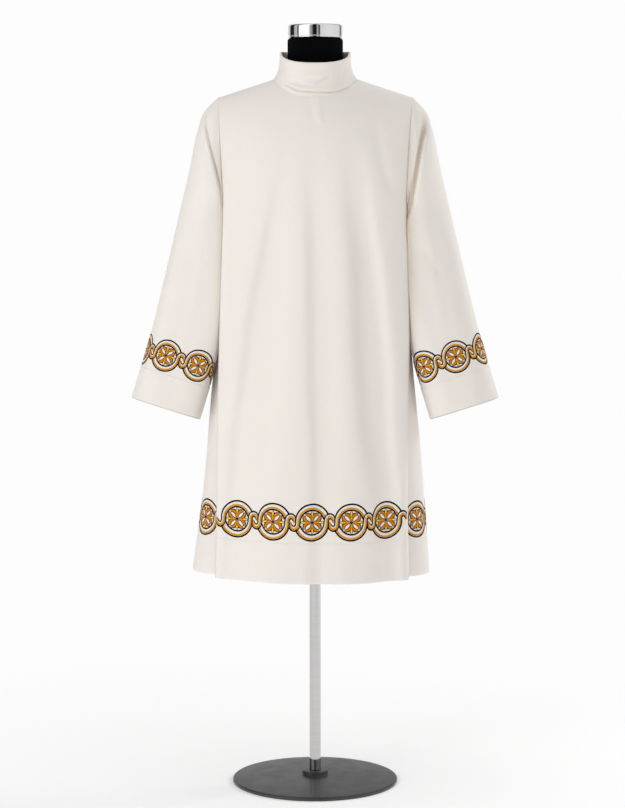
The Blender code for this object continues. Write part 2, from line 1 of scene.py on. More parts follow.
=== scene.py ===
"""Looks of a surplice on a limbless dress form.

Metres, +Z up, the front faces -Y. Left and right are as seen from the front, so left is -X.

Every cloth piece is a thin sheet on the form of its solid, worked out on a fine grid from the same
sizes, with its folds, hems and rolled edges. The embroidered bands are drawn flat, as strips of
thread along arcs and leaf-shaped curves, and then laid on the cloth.
"""
import math

import bmesh
import bpy
import numpy as np
from bpy.props import FloatProperty, FloatVectorProperty, PointerProperty
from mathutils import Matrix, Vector


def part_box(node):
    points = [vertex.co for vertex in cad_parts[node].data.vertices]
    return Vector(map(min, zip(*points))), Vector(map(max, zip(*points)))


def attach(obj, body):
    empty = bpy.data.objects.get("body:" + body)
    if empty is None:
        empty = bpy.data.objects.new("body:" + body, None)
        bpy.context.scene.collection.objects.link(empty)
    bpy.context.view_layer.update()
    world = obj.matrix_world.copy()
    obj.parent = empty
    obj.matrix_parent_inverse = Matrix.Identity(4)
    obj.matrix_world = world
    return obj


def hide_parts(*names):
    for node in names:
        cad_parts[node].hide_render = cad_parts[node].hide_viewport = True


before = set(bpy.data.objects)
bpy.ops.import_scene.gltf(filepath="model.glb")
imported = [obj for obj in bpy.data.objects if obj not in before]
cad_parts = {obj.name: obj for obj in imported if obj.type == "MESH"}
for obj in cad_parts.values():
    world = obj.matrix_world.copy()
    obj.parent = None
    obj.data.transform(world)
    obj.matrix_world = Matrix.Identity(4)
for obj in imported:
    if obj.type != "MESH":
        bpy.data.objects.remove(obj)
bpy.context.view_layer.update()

bl_info = {
    "name": "Surplice on a dress form",
    "version": (1, 0, 0),
    "blender": (4, 5, 0),
    "location": "3D View > Sidebar > Surplice",
    "description": "Makes an embroidered surplice, the dress form that carries it and a plain studio",
    "category": "Add Mesh",
}


def table(names, rows):
    """A table with named columns."""
    return np.array(rows, dtype=[(name, "f8") for name in names.split()])


# Sizes of the cloth pieces, the same as those of the solids
HEM_HEIGHT = 0.466
HEM_DEPTH = 0.085
CUFF_HEM_DEPTH = 0.070
RIDGE_TOP = 1.5565
RIDGE_SLOPE = 0.336
RIDGE_ROUND = 0.02
RIDGE_BACK = 0.030
RIDGE_SPAN = 0.24
NECK_HALF_WIDTH = 0.0898
NECK_FRONT = 0.0865
NECK_BACK = 0.075
NECK_POWER = 2.5
NECK_SIDE_DEPTH = RIDGE_BACK * (1 - (NECK_HALF_WIDTH / RIDGE_SPAN) ** 2)
ROUND_POWER = 2.4
ROUND_DROP = (0.286, 0.262)   # of the front and of the back in the middle, and of both at the edge
ROUND_DROP_EDGE = 0.190
ROUND_EDGE_AT = 0.2
ROUND_EDGE_POWER = 1.3
PANEL_POWER = 2.4

# Body sections, hem first: shift of the middle to the right, half width of the panels, depth of the
# front in its middle, how much less it is at its edge, the same for the back
SECTIONS = table("height shift panel_half front_mid front_fall back_mid back_fall", [
    (0.466, -0.0070, 0.2060, 0.183, 0.061, 0.172, 0.060),
    (0.607, -0.0065, 0.2030, 0.175, 0.059, 0.163, 0.058),
    (0.785, -0.0055, 0.2025, 0.165, 0.057, 0.152, 0.056),
    (0.990, -0.0020, 0.2010, 0.153, 0.053, 0.140, 0.053),
    (1.130, -0.0015, 0.1975, 0.144, 0.051, 0.131, 0.050),
    (1.283, -0.0012, 0.1941, 0.1355, 0.050, 0.125, 0.047),
    (1.400, -0.0010, 0.2000, 0.1345, 0.050, 0.124, 0.047),
    (1.486, 0.0010, 0.2065, 0.1345, 0.050, 0.124, 0.047),
])

# Side gores, hem first: half width at the sides, how far the pleat goes in, how far it lies behind
GORE_POWER = 2.5
GORE_TOP = 1.252
GORE_CLOTH_TOP = 1.264    # the cloth goes on up inside the armhole's seam
GORES = table("height side_half pleat_in pleat_behind", [
    (0.466, 0.2575, 0.041, 0.024),
    (0.610, 0.2419, 0.035, 0.021),
    (0.785, 0.2255, 0.027, 0.017),
    (0.990, 0.2065, 0.018, 0.0135),
    (1.252, 0.1885, 0.012, 0.009),
])
GORE_ARC_KNOTS = 12
GORE_SHADE = 0.35         # painted shade behind the sleeves, from which height on and how gradually
GORE_SHADE_LOW = 0.93
GORE_SHADE_RISE = 0.08
GORE_LAST = 2 * (3 + GORE_ARC_KNOTS) - 2   # number of the last knot
GORE_BEHIND = 0.0029
GORE_EDGE = 0.0006
FOLD_RADIUS = 0.003
GORE_BOW = 0.0035         # slow waves down its middle: their depth, their turns for each metre, how much
GORE_BOW_TURNS = 9.0      # those of the two gores differ, and where they fade
GORE_BOW_START = 1.3
GORE_BOW_TOP = 1.1
GORE_BOW_FADE = 0.4
GORE_MIDDLE = 0.27        # share of its width in which waves and hem relief are strong
GORE_STEP = 0.012         # usual distance from knot to knot

# Long folds: where the cloth steps back (down) and forward again (up), from the middle to the right as
# seen from outside, and the depth and widths of each fold's two walls
FRONT_FOLDS = table("height down1 up1 down2 up2 down3 up3", [
    (0.466, -0.186, -0.105, 0.000, 0.036, 0.134, 0.184),
    (0.510, -0.184, -0.104, 0.001, 0.037, 0.132, 0.183),
    (0.683, -0.174, -0.092, 0.003, 0.050, 0.124, 0.175),
    (0.768, -0.168, -0.084, 0.001, 0.052, 0.110, 0.165),
    (0.894, -0.151, -0.071, -0.007, 0.046, 0.097, 0.159),
    (1.020, -0.138, -0.064, -0.010, 0.041, 0.087, 0.146),
    (1.146, -0.113, -0.061, -0.012, 0.034, 0.084, 0.131),
    (1.270, -0.090, -0.058, -0.014, 0.028, 0.066, 0.113),
    (1.400, -0.070, -0.048, -0.016, 0.026, 0.060, 0.102),
])
FRONT_FOLD_WALLS = table("depth down_width up_width", [
    (0.0135, 0.0115, 0.021), (0.0115, 0.0110, 0.024), (0.0180, 0.0155, 0.0125),
])
BACK_FOLDS = table("height down1 up1 down2 up2 down3 up3", [
    (0.466, -0.158, -0.100, -0.020, 0.020, 0.098, 0.168),
    (0.683, -0.142, -0.088, -0.016, 0.028, 0.094, 0.158),
    (0.894, -0.124, -0.070, -0.010, 0.034, 0.084, 0.142),
    (1.146, -0.100, -0.052, -0.012, 0.030, 0.072, 0.122),
    (1.400, -0.080, -0.040, -0.014, 0.024, 0.060, 0.100),
])
BACK_FOLD_WALLS = table("depth down_width up_width", [
    (0.0130, 0.0150, 0.018), (0.0095, 0.0180, 0.013), (0.0125, 0.0140, 0.022),
])
FOLD_STRENGTH = table("height strength", [
    (0.466, 0.62), (0.60, 0.80), (0.80, 1.0), (1.02, 1.0), (1.146, 0.95), (1.27, 0.50), (1.34, 0.18),
    (1.40, 0.0),
])
FOLD_FADE = 0.12          # share of the half width in which they fade towards a panel's edge

# Right sleeve, armhole first
SLEEVE = table("share outer_x outer_z inner_x inner_z front back forward", [
    (0.000, 0.2078, 1.4860, 0.1897, 1.2550, 0.086, 0.082, 0.000),
    (0.068, 0.2382, 1.4525, 0.1860, 1.2500, 0.086, 0.082, 0.001),
    (0.122, 0.2500, 1.4180, 0.1830, 1.2430, 0.086, 0.081, 0.002),
    (0.254, 0.2683, 1.3320, 0.1750, 1.2150, 0.081, 0.077, 0.006),
    (0.404, 0.2915, 1.2340, 0.1700, 1.1600, 0.076, 0.073, 0.012),
    (0.594, 0.3205, 1.1100, 0.1780, 1.0580, 0.072, 0.070, 0.021),
    (0.779, 0.3504, 0.9895, 0.2060, 0.9420, 0.070, 0.068, 0.030),
    (1.000, 0.3925, 0.8476, 0.2468, 0.8020, 0.069, 0.068, 0.040),
])
SLEEVE_LENGTH = 0.670
SLEEVE_ROUND_OUT = 0.30
SLEEVE_ROUND_TOP = 0.06
SLEEVE_TILT = 0.085
SLEEVE_SQUARE = 4.5       # squareness of the quarter between the front and the inner edge, and the
SLEEVE_SQUARE_SHARE = 0.3     # share of the length over which it grows
SLEEVE_CLEAR = 0.0014     # from the gore, and from a panel's edge
SLEEVE_CLEAR_EDGE = 0.0006
SLEEVE_CLEAR_START = 0.03
SLEEVE_CLEAR_RISE = 0.05
SLEEVE_SOFT = 0.0008
SLEEVE_LEAN = 0.008       # how far the front of its inner side leans towards a panel's edge
SLEEVE_LEAN_REACH = 0.020
SLEEVE_LEAN_LOW = 0.90
SLEEVE_LEAN_FADES = (0.08, 0.04)      # over which height it fades, below and above
SLEEVE_BEFORE = 0.3       # sine of the turn at which the inner side's front part starts, and its rise
SLEEVE_BEFORE_RISE = 0.4
SLEEVE_CREASE_SHARE = 0.2
SLEEVE_RADIUS = 0.072     # mean radius of a cuff
SLEEVE_STAND = 0.012
SLEEVE_STAND_SHARE = 0.07
ARMHOLE_SPACE = 0.0002
ARMHOLE_LOW = 1.262
ARMHOLE_EDGE_SHARE = 0.75
ARMHOLE_POWER = 1.6

# Crease that slants from the top of each sleeve, left and right, to its seam: the cloth outside it
# stands forward, and the groove along it is wide on its inner side and steep on its outer one; a strip
# of painted shade runs along its inner side
SLEEVE_FOLDS = table("top_x top_z end_x end_z low groove groove_width shade_width shade", [
    (0.2340, 1.430, 0.1970, 1.280, 1.25, 0.0034, 0.0045, 0.0026, 0.52),
    (0.2360, 1.430, 0.1985, 1.222, 1.16, 0.0075, 0.0100, 0.0110, 0.55),
])
CREASE_STEP = 0.008
CREASE_HALF_WIDTH = 0.003
CREASE_REACH = 0.050
CREASE_WALL_WIDTH = 0.0022
CREASE_HIGH = 1.46
CREASE_FADE = 0.045
CREASE_START = 0.05
CREASE_SHADE_SOFT = 0.004     # width of the inner and of the outer edge of its strip of painted shade
CREASE_SHADE_SHARP = 0.0016
# Painted shade on the cloth in the hollow beside a panel's edge, on the left and the right
EDGE_SHADE = table("height left right", [
    (0.86, 0.00, 0.00), (0.95, 0.10, 0.20), (1.02, 0.20, 0.38), (1.10, 0.30, 0.50), (1.20, 0.34, 0.48),
    (1.26, 0.36, 0.40), (1.30, 0.44, 0.30), (1.36, 0.30, 0.40), (1.40, 0.05, 0.30), (1.43, 0.00, 0.10),
    (1.46, 0.00, 0.00),
])
EDGE_SHADE_FULL = 1.5         # above one, so that it is full for a little way first
EDGE_SHADE_REACH = (0.0080, 0.0100)
EDGE_SHADE_REACH_SEWN = 0.0045    # the same where the sleeve is sewn on
EDGE_SHADE_SEWN_LOW = 1.24
EDGE_SHADE_SEWN_RISE = 0.05
CUFF_EDGE = 0.0024        # the last stretch of a cuff, which turns in, and the painted shade on it
CUFF_EDGE_SHADE = 0.65

# Collar
COLLAR_TOP_HALF_WIDTH = 0.0747
COLLAR_TOP_FRONT = 0.080
COLLAR_TOP_BACK = 0.068
COLLAR_TOP_HEIGHT = 1.5838
COLLAR_TOP_RISE = 0.325
COLLAR_BACK_RISE = 0.02
COLLAR_TOP_BEND = 0.012
COLLAR_FLARE = 3.4
COLLAR_FOLD = 0.0020      # thickness of the doubled cloth
COLLAR_ROLL = 0.0029      # radius of its soft top edge
COLLAR_TUCK = 0.0015      # how far its lower edge goes down into the seam
COLLAR_SHADE = 0.30       # painted shade in its creases, and from which depth
COLLAR_SHADE_START = 0.0011
COLLAR_WAIST = 0.25       # how much thinner its outer half is in the middle of its height
COLLAR_ROLL_START = 0.55  # share of the height from which the inner half widens to the roll

# What only the fine cloth has
PANEL_COLUMNS = 111
PANEL_ROWS = 200
GORE_COLUMNS = 72
GORE_ROWS = 150
SLEEVE_COLUMNS = 176
SLEEVE_CLOSE = 0.62       # how much closer its columns lie round one turn, and which
SLEEVE_CLOSE_AT = 0.65
SLEEVE_ROWS = 140
COLLAR_COLUMNS = 176
COLLAR_ROWS = 46
NECK_COLUMNS = 0.5        # share of a panel's columns that start on the neckline
SPREAD_SHARE = 0.42
ROW_POWER = 1.5           # how much closer the rows lie at the shoulder
EDGE_ROLL = 0.0018        # how far a panel's side edge rolls back below the armhole, and over which width
EDGE_ROLL_WIDTH = 0.0035
EDGE_ROLL_SEWN = 0.0004   # the same where the sleeve is sewn on
EDGE_ROLL_CHANGE = 0.04
SEAM_HALF = 0.0005        # how far the two sides of the shoulder seam part, and over which height
SEAM_HALF_REACH = 0.01
SEAM_SINK = 0.0010        # how far the cloth sinks at a seam, and over which width
SEAM_WIDTH = 0.0032
RIDGE_CALM = 0.03         # how far below the shoulder line the cloth is smooth
HEM_STEP = 0.0004         # the doubled cloth of a hem stands out by this
HEM_STEP_WIDTH = 0.0016
HEM_CURL = 0.0009
HEM_CURL_WIDTH = 0.0012
PUCKER = 0.00022          # height, length and reach of the small puckers along a line of stitches
PUCKER_LENGTH = 0.0125
PUCKER_REACH = 0.007
PUCKER_SWAY = 2.5         # how far their length wanders, and over how many of them
PUCKER_SLOW = 2.7
HEM_TILT = 0.020          # how much higher the hem hangs towards the left side, for each metre
HEM_TILT_TOP = 0.95
HEM_TILT_RISE = 0.45
HEM_TILT_ROUND = 0.06

# Creases of the front: from and to, as place from the middle and height, sideways bend, height of the
# ridge (below zero a trough), half width
CREASE_COLUMNS = "x0 z0 x1 z1 bend height width"
FRONT_CREASES = table(CREASE_COLUMNS, [
    (0.003, 1.492, 0.012, 1.430, 0.002, 0.0022, 0.007),
    (-0.010, 1.490, -0.004, 1.440, 0.001, -0.0012, 0.008),
    (0.130, 1.440, 0.160, 1.290, 0.008, -0.0025, 0.013),
    (-0.150, 1.400, -0.172, 1.300, -0.006, -0.0015, 0.014),
    (-0.020, 0.520, -0.012, 0.470, 0.000, 0.0012, 0.008),
    (0.022, 0.535, 0.018, 0.470, 0.001, -0.0012, 0.009),
    (0.062, 0.530, 0.066, 0.468, 0.000, 0.0013, 0.010),
    (0.098, 0.540, 0.092, 0.470, 0.002, -0.0010, 0.009),
])
BACK_CREASES = table(CREASE_COLUMNS, [
    (0.135, 1.430, 0.160, 1.290, 0.006, -0.0020, 0.014),
    (-0.135, 1.430, -0.162, 1.290, -0.006, -0.0025, 0.014),
    (-0.050, 0.540, -0.046, 0.470, 0.000, 0.0012, 0.010),
    (0.040, 0.535, 0.046, 0.468, 0.001, -0.0012, 0.009),
])
# Creases of a sleeve: from and to, as turn round it (0 outside, 0.5 front) and share of its length
SLEEVE_CREASES = table(CREASE_COLUMNS, [
    (0.36, 0.30, 0.46, 0.98, 0.00, -0.0030, 0.075),
    (0.66, 0.34, 0.62, 1.02, 0.02, 0.0030, 0.070),
    (0.20, 0.42, 0.22, 1.02, 0.01, 0.0020, 0.060),
    (0.52, 0.46, 0.40, 0.56, 0.01, -0.0016, 0.030),
    (-0.30, 0.30, -0.42, 0.98, 0.00, -0.0030, 0.080),
    (-0.62, 0.34, -0.66, 1.02, 0.02, 0.0025, 0.070),
])
# Creases of the collar: from and to, as angle from the front and share of the height
COLLAR_CREASES = table(CREASE_COLUMNS, [
    (-0.92, 0.24, 0.84, 0.10, -0.05, 0.0016, 0.050),
    (-0.92, 0.15, 0.84, 0.015, -0.05, -0.0028, 0.019),
    (-0.92, 0.08, 0.84, -0.06, -0.05, 0.0012, 0.040),
    (-0.55, 0.42, 0.00, 0.27, 0.02, -0.0016, 0.070),
    (0.36, 0.60, -0.04, 0.33, 0.03, -0.0018, 0.075),
    (-0.30, 0.62, 0.20, 0.70, 0.02, 0.0016, 0.080),
    (0.70, 0.30, 0.90, 0.80, 0.00, -0.0010, 0.070),
    (2.60, 0.20, 3.40, 0.14, -0.07, 0.0030, 0.050),
    (3.30, 0.60, 3.80, 0.35, 0.00, -0.0020, 0.070),
])


# Dress form and stand, their ends taken from the solids
FORM = table("height half_width front back power", [
    (0.800, 0.145, 0.094, 0.090, 2.3),
    (0.804, 0.154, 0.102, 0.098, 2.3),
    (0.812, 0.160, 0.108, 0.104, 2.4),
    (0.860, 0.168, 0.116, 0.112, 2.4),
    (0.940, 0.166, 0.114, 0.110, 2.4),
    (1.050, 0.156, 0.104, 0.100, 2.4),
    (1.160, 0.163, 0.110, 0.102, 2.4),
    (1.280, 0.178, 0.119, 0.108, 2.4),
    (1.370, 0.192, 0.115, 0.108, 2.4),
    (1.420, 0.199, 0.104, 0.103, 2.3),
    (1.455, 0.200, 0.090, 0.094, 2.1),
    (1.475, 0.196, 0.078, 0.086, 1.9),
])
FORM_SHOULDER_HEIGHTS = (1.490, 1.502, 1.512, 1.520)
FORM_SHOULDER_FRONT = 0.060
FORM_SHOULDER_BACK = 0.066
FORM_SHOULDER_POWER = 1.7
FORM_LEAN_HEIGHT = 1.30
FORM_LEAN_RISE = 0.17
FORM_NECK_ROOT = (1.527, 0.072, 0.010, 0.059, 0.061, 1.9)
FORM_NECK_HEIGHTS = (1.545, 1.560, 1.580)
FORM_UNDER_CLOTH = 0.0022
FORM_COLUMNS = 112
FORM_ROWS = 130
NECK_RADIUS = 0.0590
NECK_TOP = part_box("form_torso")[1].z
NECK_EDGE = 0.006
CAP_LOW, CAP_HIGH = (corner.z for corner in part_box("neck_cap"))
CAP_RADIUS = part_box("neck_cap")[1].x
CAP_EDGE = 0.0045
CAP_BEAD = 0.0012         # narrow groove above the cap's lower rim
POLE_LOW, POLE_HIGH = (corner.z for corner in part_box("pole"))
POLE_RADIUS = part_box("pole")[1].x
BASE_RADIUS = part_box("base")[1].x
BASE_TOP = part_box("base")[1].z
BASE_RIM = 0.008
BASE_CROWN = 0.015
BASE_HUB_RADIUS = 0.028
BASE_BEND = 0.004
ROUND_SIDES = 120

AXIS = 0.0005             # radius of the small flat in the middle of a turned piece
SHARP_ANGLE = math.radians(40)

# Bands and stitches: heights of the bands' middles above the hem and the cuff, and where they end
BAND_MIDDLE = 0.130
GORE_BAND_MIDDLE = 0.1215
SLEEVE_BAND_MIDDLES = {"sleeve_left": 0.1080, "sleeve_right": 0.1112}
BAND_INSET = 0.0015
GORE_BAND_START = 2.0
PHASES = {"gore_left": 0.0562, "gore_right": -0.0657, "sleeve_left": 0.013, "sleeve_right": -0.1035}
PANEL_MEASURED = 801      # points of a row whose length is measured, on a panel and elsewhere
MEASURED = 1201
SLEEVE_LAST = 0.2         # share of a sleeve's length whose size gives the height of its band
STITCH_STEP = 0.0034
STITCH_BELOW = 0.0010
COLLAR_HEIGHT = 0.055

# What the chrome mirrors all round: angle from the camera to the right and brightness
FLAGS = [
    (-180, 0.75), (-140, 0.70), (-130, 0.02), (-104, 0.02), (-99, 0.50), (-84, 0.55), (-81, 0.02),
    (-77, 0.02), (-73, 1.20), (-28, 1.20), (-23, 0.50), (-12, 0.20), (-9, 0.01), (5, 0.01), (8, 0.40),
    (12, 0.45), (15, 0.02), (18, 0.02), (23, 0.75), (60, 0.85), (127, 0.75), (131, 0.02), (137, 0.02),
    (142, 0.60),
]
# Brightness of the soft light all round, read in the same way, and from above
SOFT_LIGHT = [
    (-180, 0.05), (-135, 0.10), (-90, 0.36), (-45, 0.76), (0, 0.55), (45, 0.06), (90, 0.05),
    (135, 0.16), (180, 0.05),
]

# Camera, where the photograph's stood
CAMERA_PLACE = (-0.0058, -5.3, 1.375)
CAMERA_TILT = math.radians(5.879)
CAMERA_LENS = 109.9

LIGHT_PLACES = {"key": (-2.65, -3.51, 2.6), "rim": (3.99, 1.86, 2.6)}
LIGHT_AIM = (0.0, 0.0, 1.05)
LIGHT_SIZE = 1.8
BACKDROP = (0.98, 0.98, 0.98, 1.0)
FLOOR_NEAR = 0.25         # from the stand: where the floor starts to look as the backdrop does, and ends
FLOOR_FAR = 1.60
FLOOR_REACH = 30.0
FLOOR_DROP = 0.0005       # how far it lies below the base


# Curves

def cubic(t, start, end, start_slope, end_slope):
    """The start times 2t^3 - 3t^2 + 1, its slope times t^3 - 2t^2 + t, the end times 3t^2 - 2t^3 and its
    slope times t^3 - t^2."""
    return ((2 * t ** 3 - 3 * t ** 2 + 1) * start + (t ** 3 - 2 * t ** 2 + t) * start_slope
            + (3 * t ** 2 - 2 * t ** 3) * end + (t ** 3 - t ** 2) * end_slope)


def column(rows, name, at, key="height"):
    """Cubic curve through one column of a table; a row's slope is the mean of its two sides."""
    keys, values = rows[key], rows[name]
    slopes = np.gradient(values, keys)
    at = np.clip(at, keys[0], keys[-1])
    row = np.clip(np.searchsorted(keys, at) - 1, 0, len(keys) - 2)
    step = keys[row + 1] - keys[row]
    return cubic((at - keys[row]) / step, values[row], values[row + 1],
                 step * slopes[row], step * slopes[row + 1])


def ease(t):
    """Zero below 0, one above 1 and 3t^2 - 2t^3 between."""
    t = np.clip(t, 0.0, 1.0)
    return t * t * (3 - 2 * t)


def mix(a, b, share):
    return a + (b - a) * share


def rounded(value, power):
    """The value's size to the power of 2 over the given one, with its sign: a sine and a cosine so
    treated run round a squarish oval."""
    return np.sign(value) * np.abs(value) ** (2 / power)


def of_side(pair, side):
    """The first of two for the front or the left (side -1), the second for the back or the right."""
    return pair[0 if side < 0 else 1]


def by_side(in_front, value, *places):
    """A value of the front where in_front is true, and of the back elsewhere."""
    return np.where(in_front, value(*places, -1), value(*places, 1))


def hump(t):
    """A bell: e to the power of minus t squared."""
    return np.exp(-t ** 2)


def unit(vectors):
    """Vectors of length one, along the last axis."""
    return vectors / np.maximum(np.linalg.norm(vectors, axis=-1, keepdims=True), 1e-12)


def cumulative(points):
    """Distance along a line of points, from its first."""
    steps = np.linalg.norm(np.diff(points, axis=0), axis=1)
    return np.concatenate([[0.0], np.cumsum(steps)])


def crease_relief(x, z, creases):
    """Sum of soft creases.

    Each is its height times a bell across its line, which may bow by 4t(1 - t) times its bend. It fades
    in from a tenth of its length before its start to two tenths after it, and out in the same way.
    """
    relief = np.zeros(np.broadcast(x, z).shape)
    for crease in creases:
        run = np.array([crease["x1"] - crease["x0"], crease["z1"] - crease["z0"]])
        length = math.hypot(*run)
        t = ((x - crease["x0"]) * run[0] + (z - crease["z0"]) * run[1]) / length ** 2
        across = ((x - crease["x0"]) * run[1] - (z - crease["z0"]) * run[0]) / length
        across = across - crease["bend"] * 4 * t * (1 - t)
        fade = ease((t + 0.1) / 0.3) * ease((1.1 - t) / 0.3)
        relief = relief + crease["height"] * hump(across / crease["width"]) * fade
    return relief


def hem_relief(along, up, depth):
    """A hem: the doubled cloth stands out a little below its stitches, with small puckers beside them,
    and its lower edge curls in.

    The puckers are a sine along the hem, its length varied by a slower sine, times a bell across the
    line of stitches.
    """
    step = HEM_STEP * ease((depth - up) / HEM_STEP_WIDTH + 0.5)
    sway = PUCKER_SWAY * np.sin(along / (PUCKER_SLOW * PUCKER_LENGTH))
    wave = np.sin(2 * math.pi * along / PUCKER_LENGTH + sway)
    curl = HEM_CURL * hump(up / HEM_CURL_WIDTH)
    return step - curl + PUCKER * wave * hump((up - depth) / PUCKER_REACH)


def hem_lift(x, z):
    """How much higher the cloth hangs towards the left side, fading upwards."""
    left = (np.sqrt(x ** 2 + HEM_TILT_ROUND ** 2) - x) / 2
    return HEM_TILT * left * ease((HEM_TILT_TOP - z) / HEM_TILT_RISE)


# Front and back

def ridge_height(x):
    """Height of the shoulder line: a straight fall to each side, rounded in the middle."""
    return RIDGE_TOP - RIDGE_SLOPE * np.sqrt(x ** 2 + RIDGE_ROUND ** 2)


def ridge_depth(x):
    """Depth of the shoulder line: a parabola that is furthest back in the middle."""
    return RIDGE_BACK * (1 - (x / RIDGE_SPAN) ** 2)


def ridge_reach(height):
    """Half width of the shoulder line at a height."""
    return math.sqrt(((RIDGE_TOP - height) / RIDGE_SLOPE) ** 2 - RIDGE_ROUND ** 2)


def round_drop(x, side):
    """How far below the shoulder line a panel has reached its full depth."""
    outwards = np.minimum(np.abs(x) / ROUND_EDGE_AT, 1.0) ** ROUND_EDGE_POWER
    return mix(of_side(ROUND_DROP, side), ROUND_DROP_EDGE, outwards)


def full_depth(x, z, side):
    """Depth of a panel below the chest: the middle's depth less a power of the distance from it."""
    name = of_side(("front", "back"), side)
    edge = np.abs(x) / column(SECTIONS, "panel_half", z)
    fall = column(SECTIONS, name + "_fall", z) * edge ** PANEL_POWER
    return side * (column(SECTIONS, name + "_mid", z) - fall)


def fold_relief(x, z, folds, walls):
    """Long folds that wander down a panel: each is a step back and a step forward again, both the
    hyperbolic tangent of the distance from the wall's place over its width."""
    relief = 0.0 * x
    for number, wall in enumerate(walls, start=1):
        down = (x - column(folds, f"down{number}", z)) / wall["down_width"]
        up = (x - column(folds, f"up{number}", z)) / wall["up_width"]
        relief = relief + wall["depth"] * (np.tanh(down) - np.tanh(up)) / 2
    return relief * column(FOLD_STRENGTH, "strength", z)


def panel_depth(x, z, side):
    """Depth of the front (side -1) or the back (side +1): the shoulder line's depth turns into the full
    depth along a rounded quarter, less the long folds."""
    drop = np.clip((ridge_height(x) - z) / round_drop(x, side), 0.0, 1.0)
    rounding = (1 - (1 - drop) ** ROUND_POWER) ** (1 / ROUND_POWER)
    depth = mix(ridge_depth(x), full_depth(x, z, side), rounding)
    folds, walls = of_side(((FRONT_FOLDS, FRONT_FOLD_WALLS), (BACK_FOLDS, BACK_FOLD_WALLS)), side)
    edge_fade = ease((1 - np.abs(x) / column(SECTIONS, "panel_half", z)) / FOLD_FADE)
    return depth - side * fold_relief(-side * x, z, folds, walls) * edge_fade


def panel_surface(side):
    """Surface of the front or the back over the share of its half width and the height."""
    creases = of_side((FRONT_CREASES, BACK_CREASES), side)

    def surface(across, z):
        half = column(SECTIONS, "panel_half", z)
        x = across * half
        from_edge = (1 - np.abs(across)) * half
        below_ridge = ridge_height(x) - z
        relief = crease_relief(x, z, creases) + hem_relief(x, z - HEM_HEIGHT, HEM_DEPTH)
        roll = mix(EDGE_ROLL, EDGE_ROLL_SEWN, ease((z - ARMHOLE_LOW) / EDGE_ROLL_CHANGE))
        relief = (relief - roll * hump(from_edge / EDGE_ROLL_WIDTH)) * ease(below_ridge / RIDGE_CALM)
        relief = relief + SEAM_HALF * hump(below_ridge / SEAM_HALF_REACH)
        depth = panel_depth(x, z, side) + side * relief
        sunk = SEAM_SINK * hump(below_ridge / SEAM_WIDTH)
        return np.stack([x + column(SECTIONS, "shift", z), depth, z + hem_lift(x, z) - sunk], axis=-1)

    return surface


def neckline(angle):
    """Neckline at an angle from the front (0) over a side (half pi) to the back (pi).

    From above it is a rounded oblong; its height is where the panel's rounding has that depth.
    """
    in_front = np.cos(angle) > 0
    x = NECK_HALF_WIDTH * rounded(np.sin(angle), NECK_POWER)
    reach = np.where(in_front, -NECK_FRONT - NECK_SIDE_DEPTH, NECK_BACK - NECK_SIDE_DEPTH)
    y = NECK_SIDE_DEPTH + reach * np.abs(rounded(np.cos(angle), NECK_POWER))
    full = by_side(in_front, full_depth, x, SECTIONS["height"][-1])
    rounding = np.clip((y - ridge_depth(x)) / (full - ridge_depth(x)), 0.0, 1.0)
    drop = 1 - (1 - rounding ** ROUND_POWER) ** (1 / ROUND_POWER)
    return x, y, ridge_height(x) - by_side(in_front, round_drop, x) * drop


def rows_with_hem(count, power, height, depth):
    """Shares from the top (0) to the hem (1), with more rows beside the line of stitches."""
    beside = np.array([-2.5, -1.4, -0.7, 0.0, 0.7, 1.4, 2.5]) * HEM_STEP_WIDTH
    edge = np.array([0.5, 1.0, 1.6, 2.6]) * HEM_CURL_WIDTH
    shares = [np.linspace(0, 1, count) ** power, 1 - (depth + beside) / height, 1 - edge / height]
    return np.sort(np.concatenate(shares))[:, None]


def panel_grid(side):
    """Grid of a panel's places: rows run from the neckline and the shoulder line down to the hem."""
    u = np.linspace(-1, 1, PANEL_COLUMNS)
    on_neck = np.minimum(np.abs(u) / NECK_COLUMNS, 1.0)
    angle = on_neck * math.pi / 2
    neck_x, _, neck_z = neckline(angle if side < 0 else math.pi - angle)
    shoulder_share = np.maximum(np.abs(u) - NECK_COLUMNS, 0.0) / (1 - NECK_COLUMNS)
    shoulder_end = SECTIONS["panel_half"][-1]
    top_x = np.sign(u) * mix(neck_x, shoulder_end, shoulder_share)
    top_z = np.where(shoulder_share > 0, ridge_height(top_x), neck_z)
    fall = rows_with_hem(PANEL_ROWS, ROW_POWER, ridge_height(NECK_HALF_WIDTH) - HEM_HEIGHT, HEM_DEPTH)
    z = mix(top_z[None, :], HEM_HEIGHT, fall)
    across = mix(top_x[None, :] / shoulder_end, u[None, :], ease(np.sqrt(fall) / SPREAD_SHARE))
    return across, z


# Gores

def panel_edge(z, side):
    """Outer edge of the front or the back at a height, before the shift."""
    x = column(SECTIONS, "panel_half", z)
    return x, panel_depth(x, z, side)


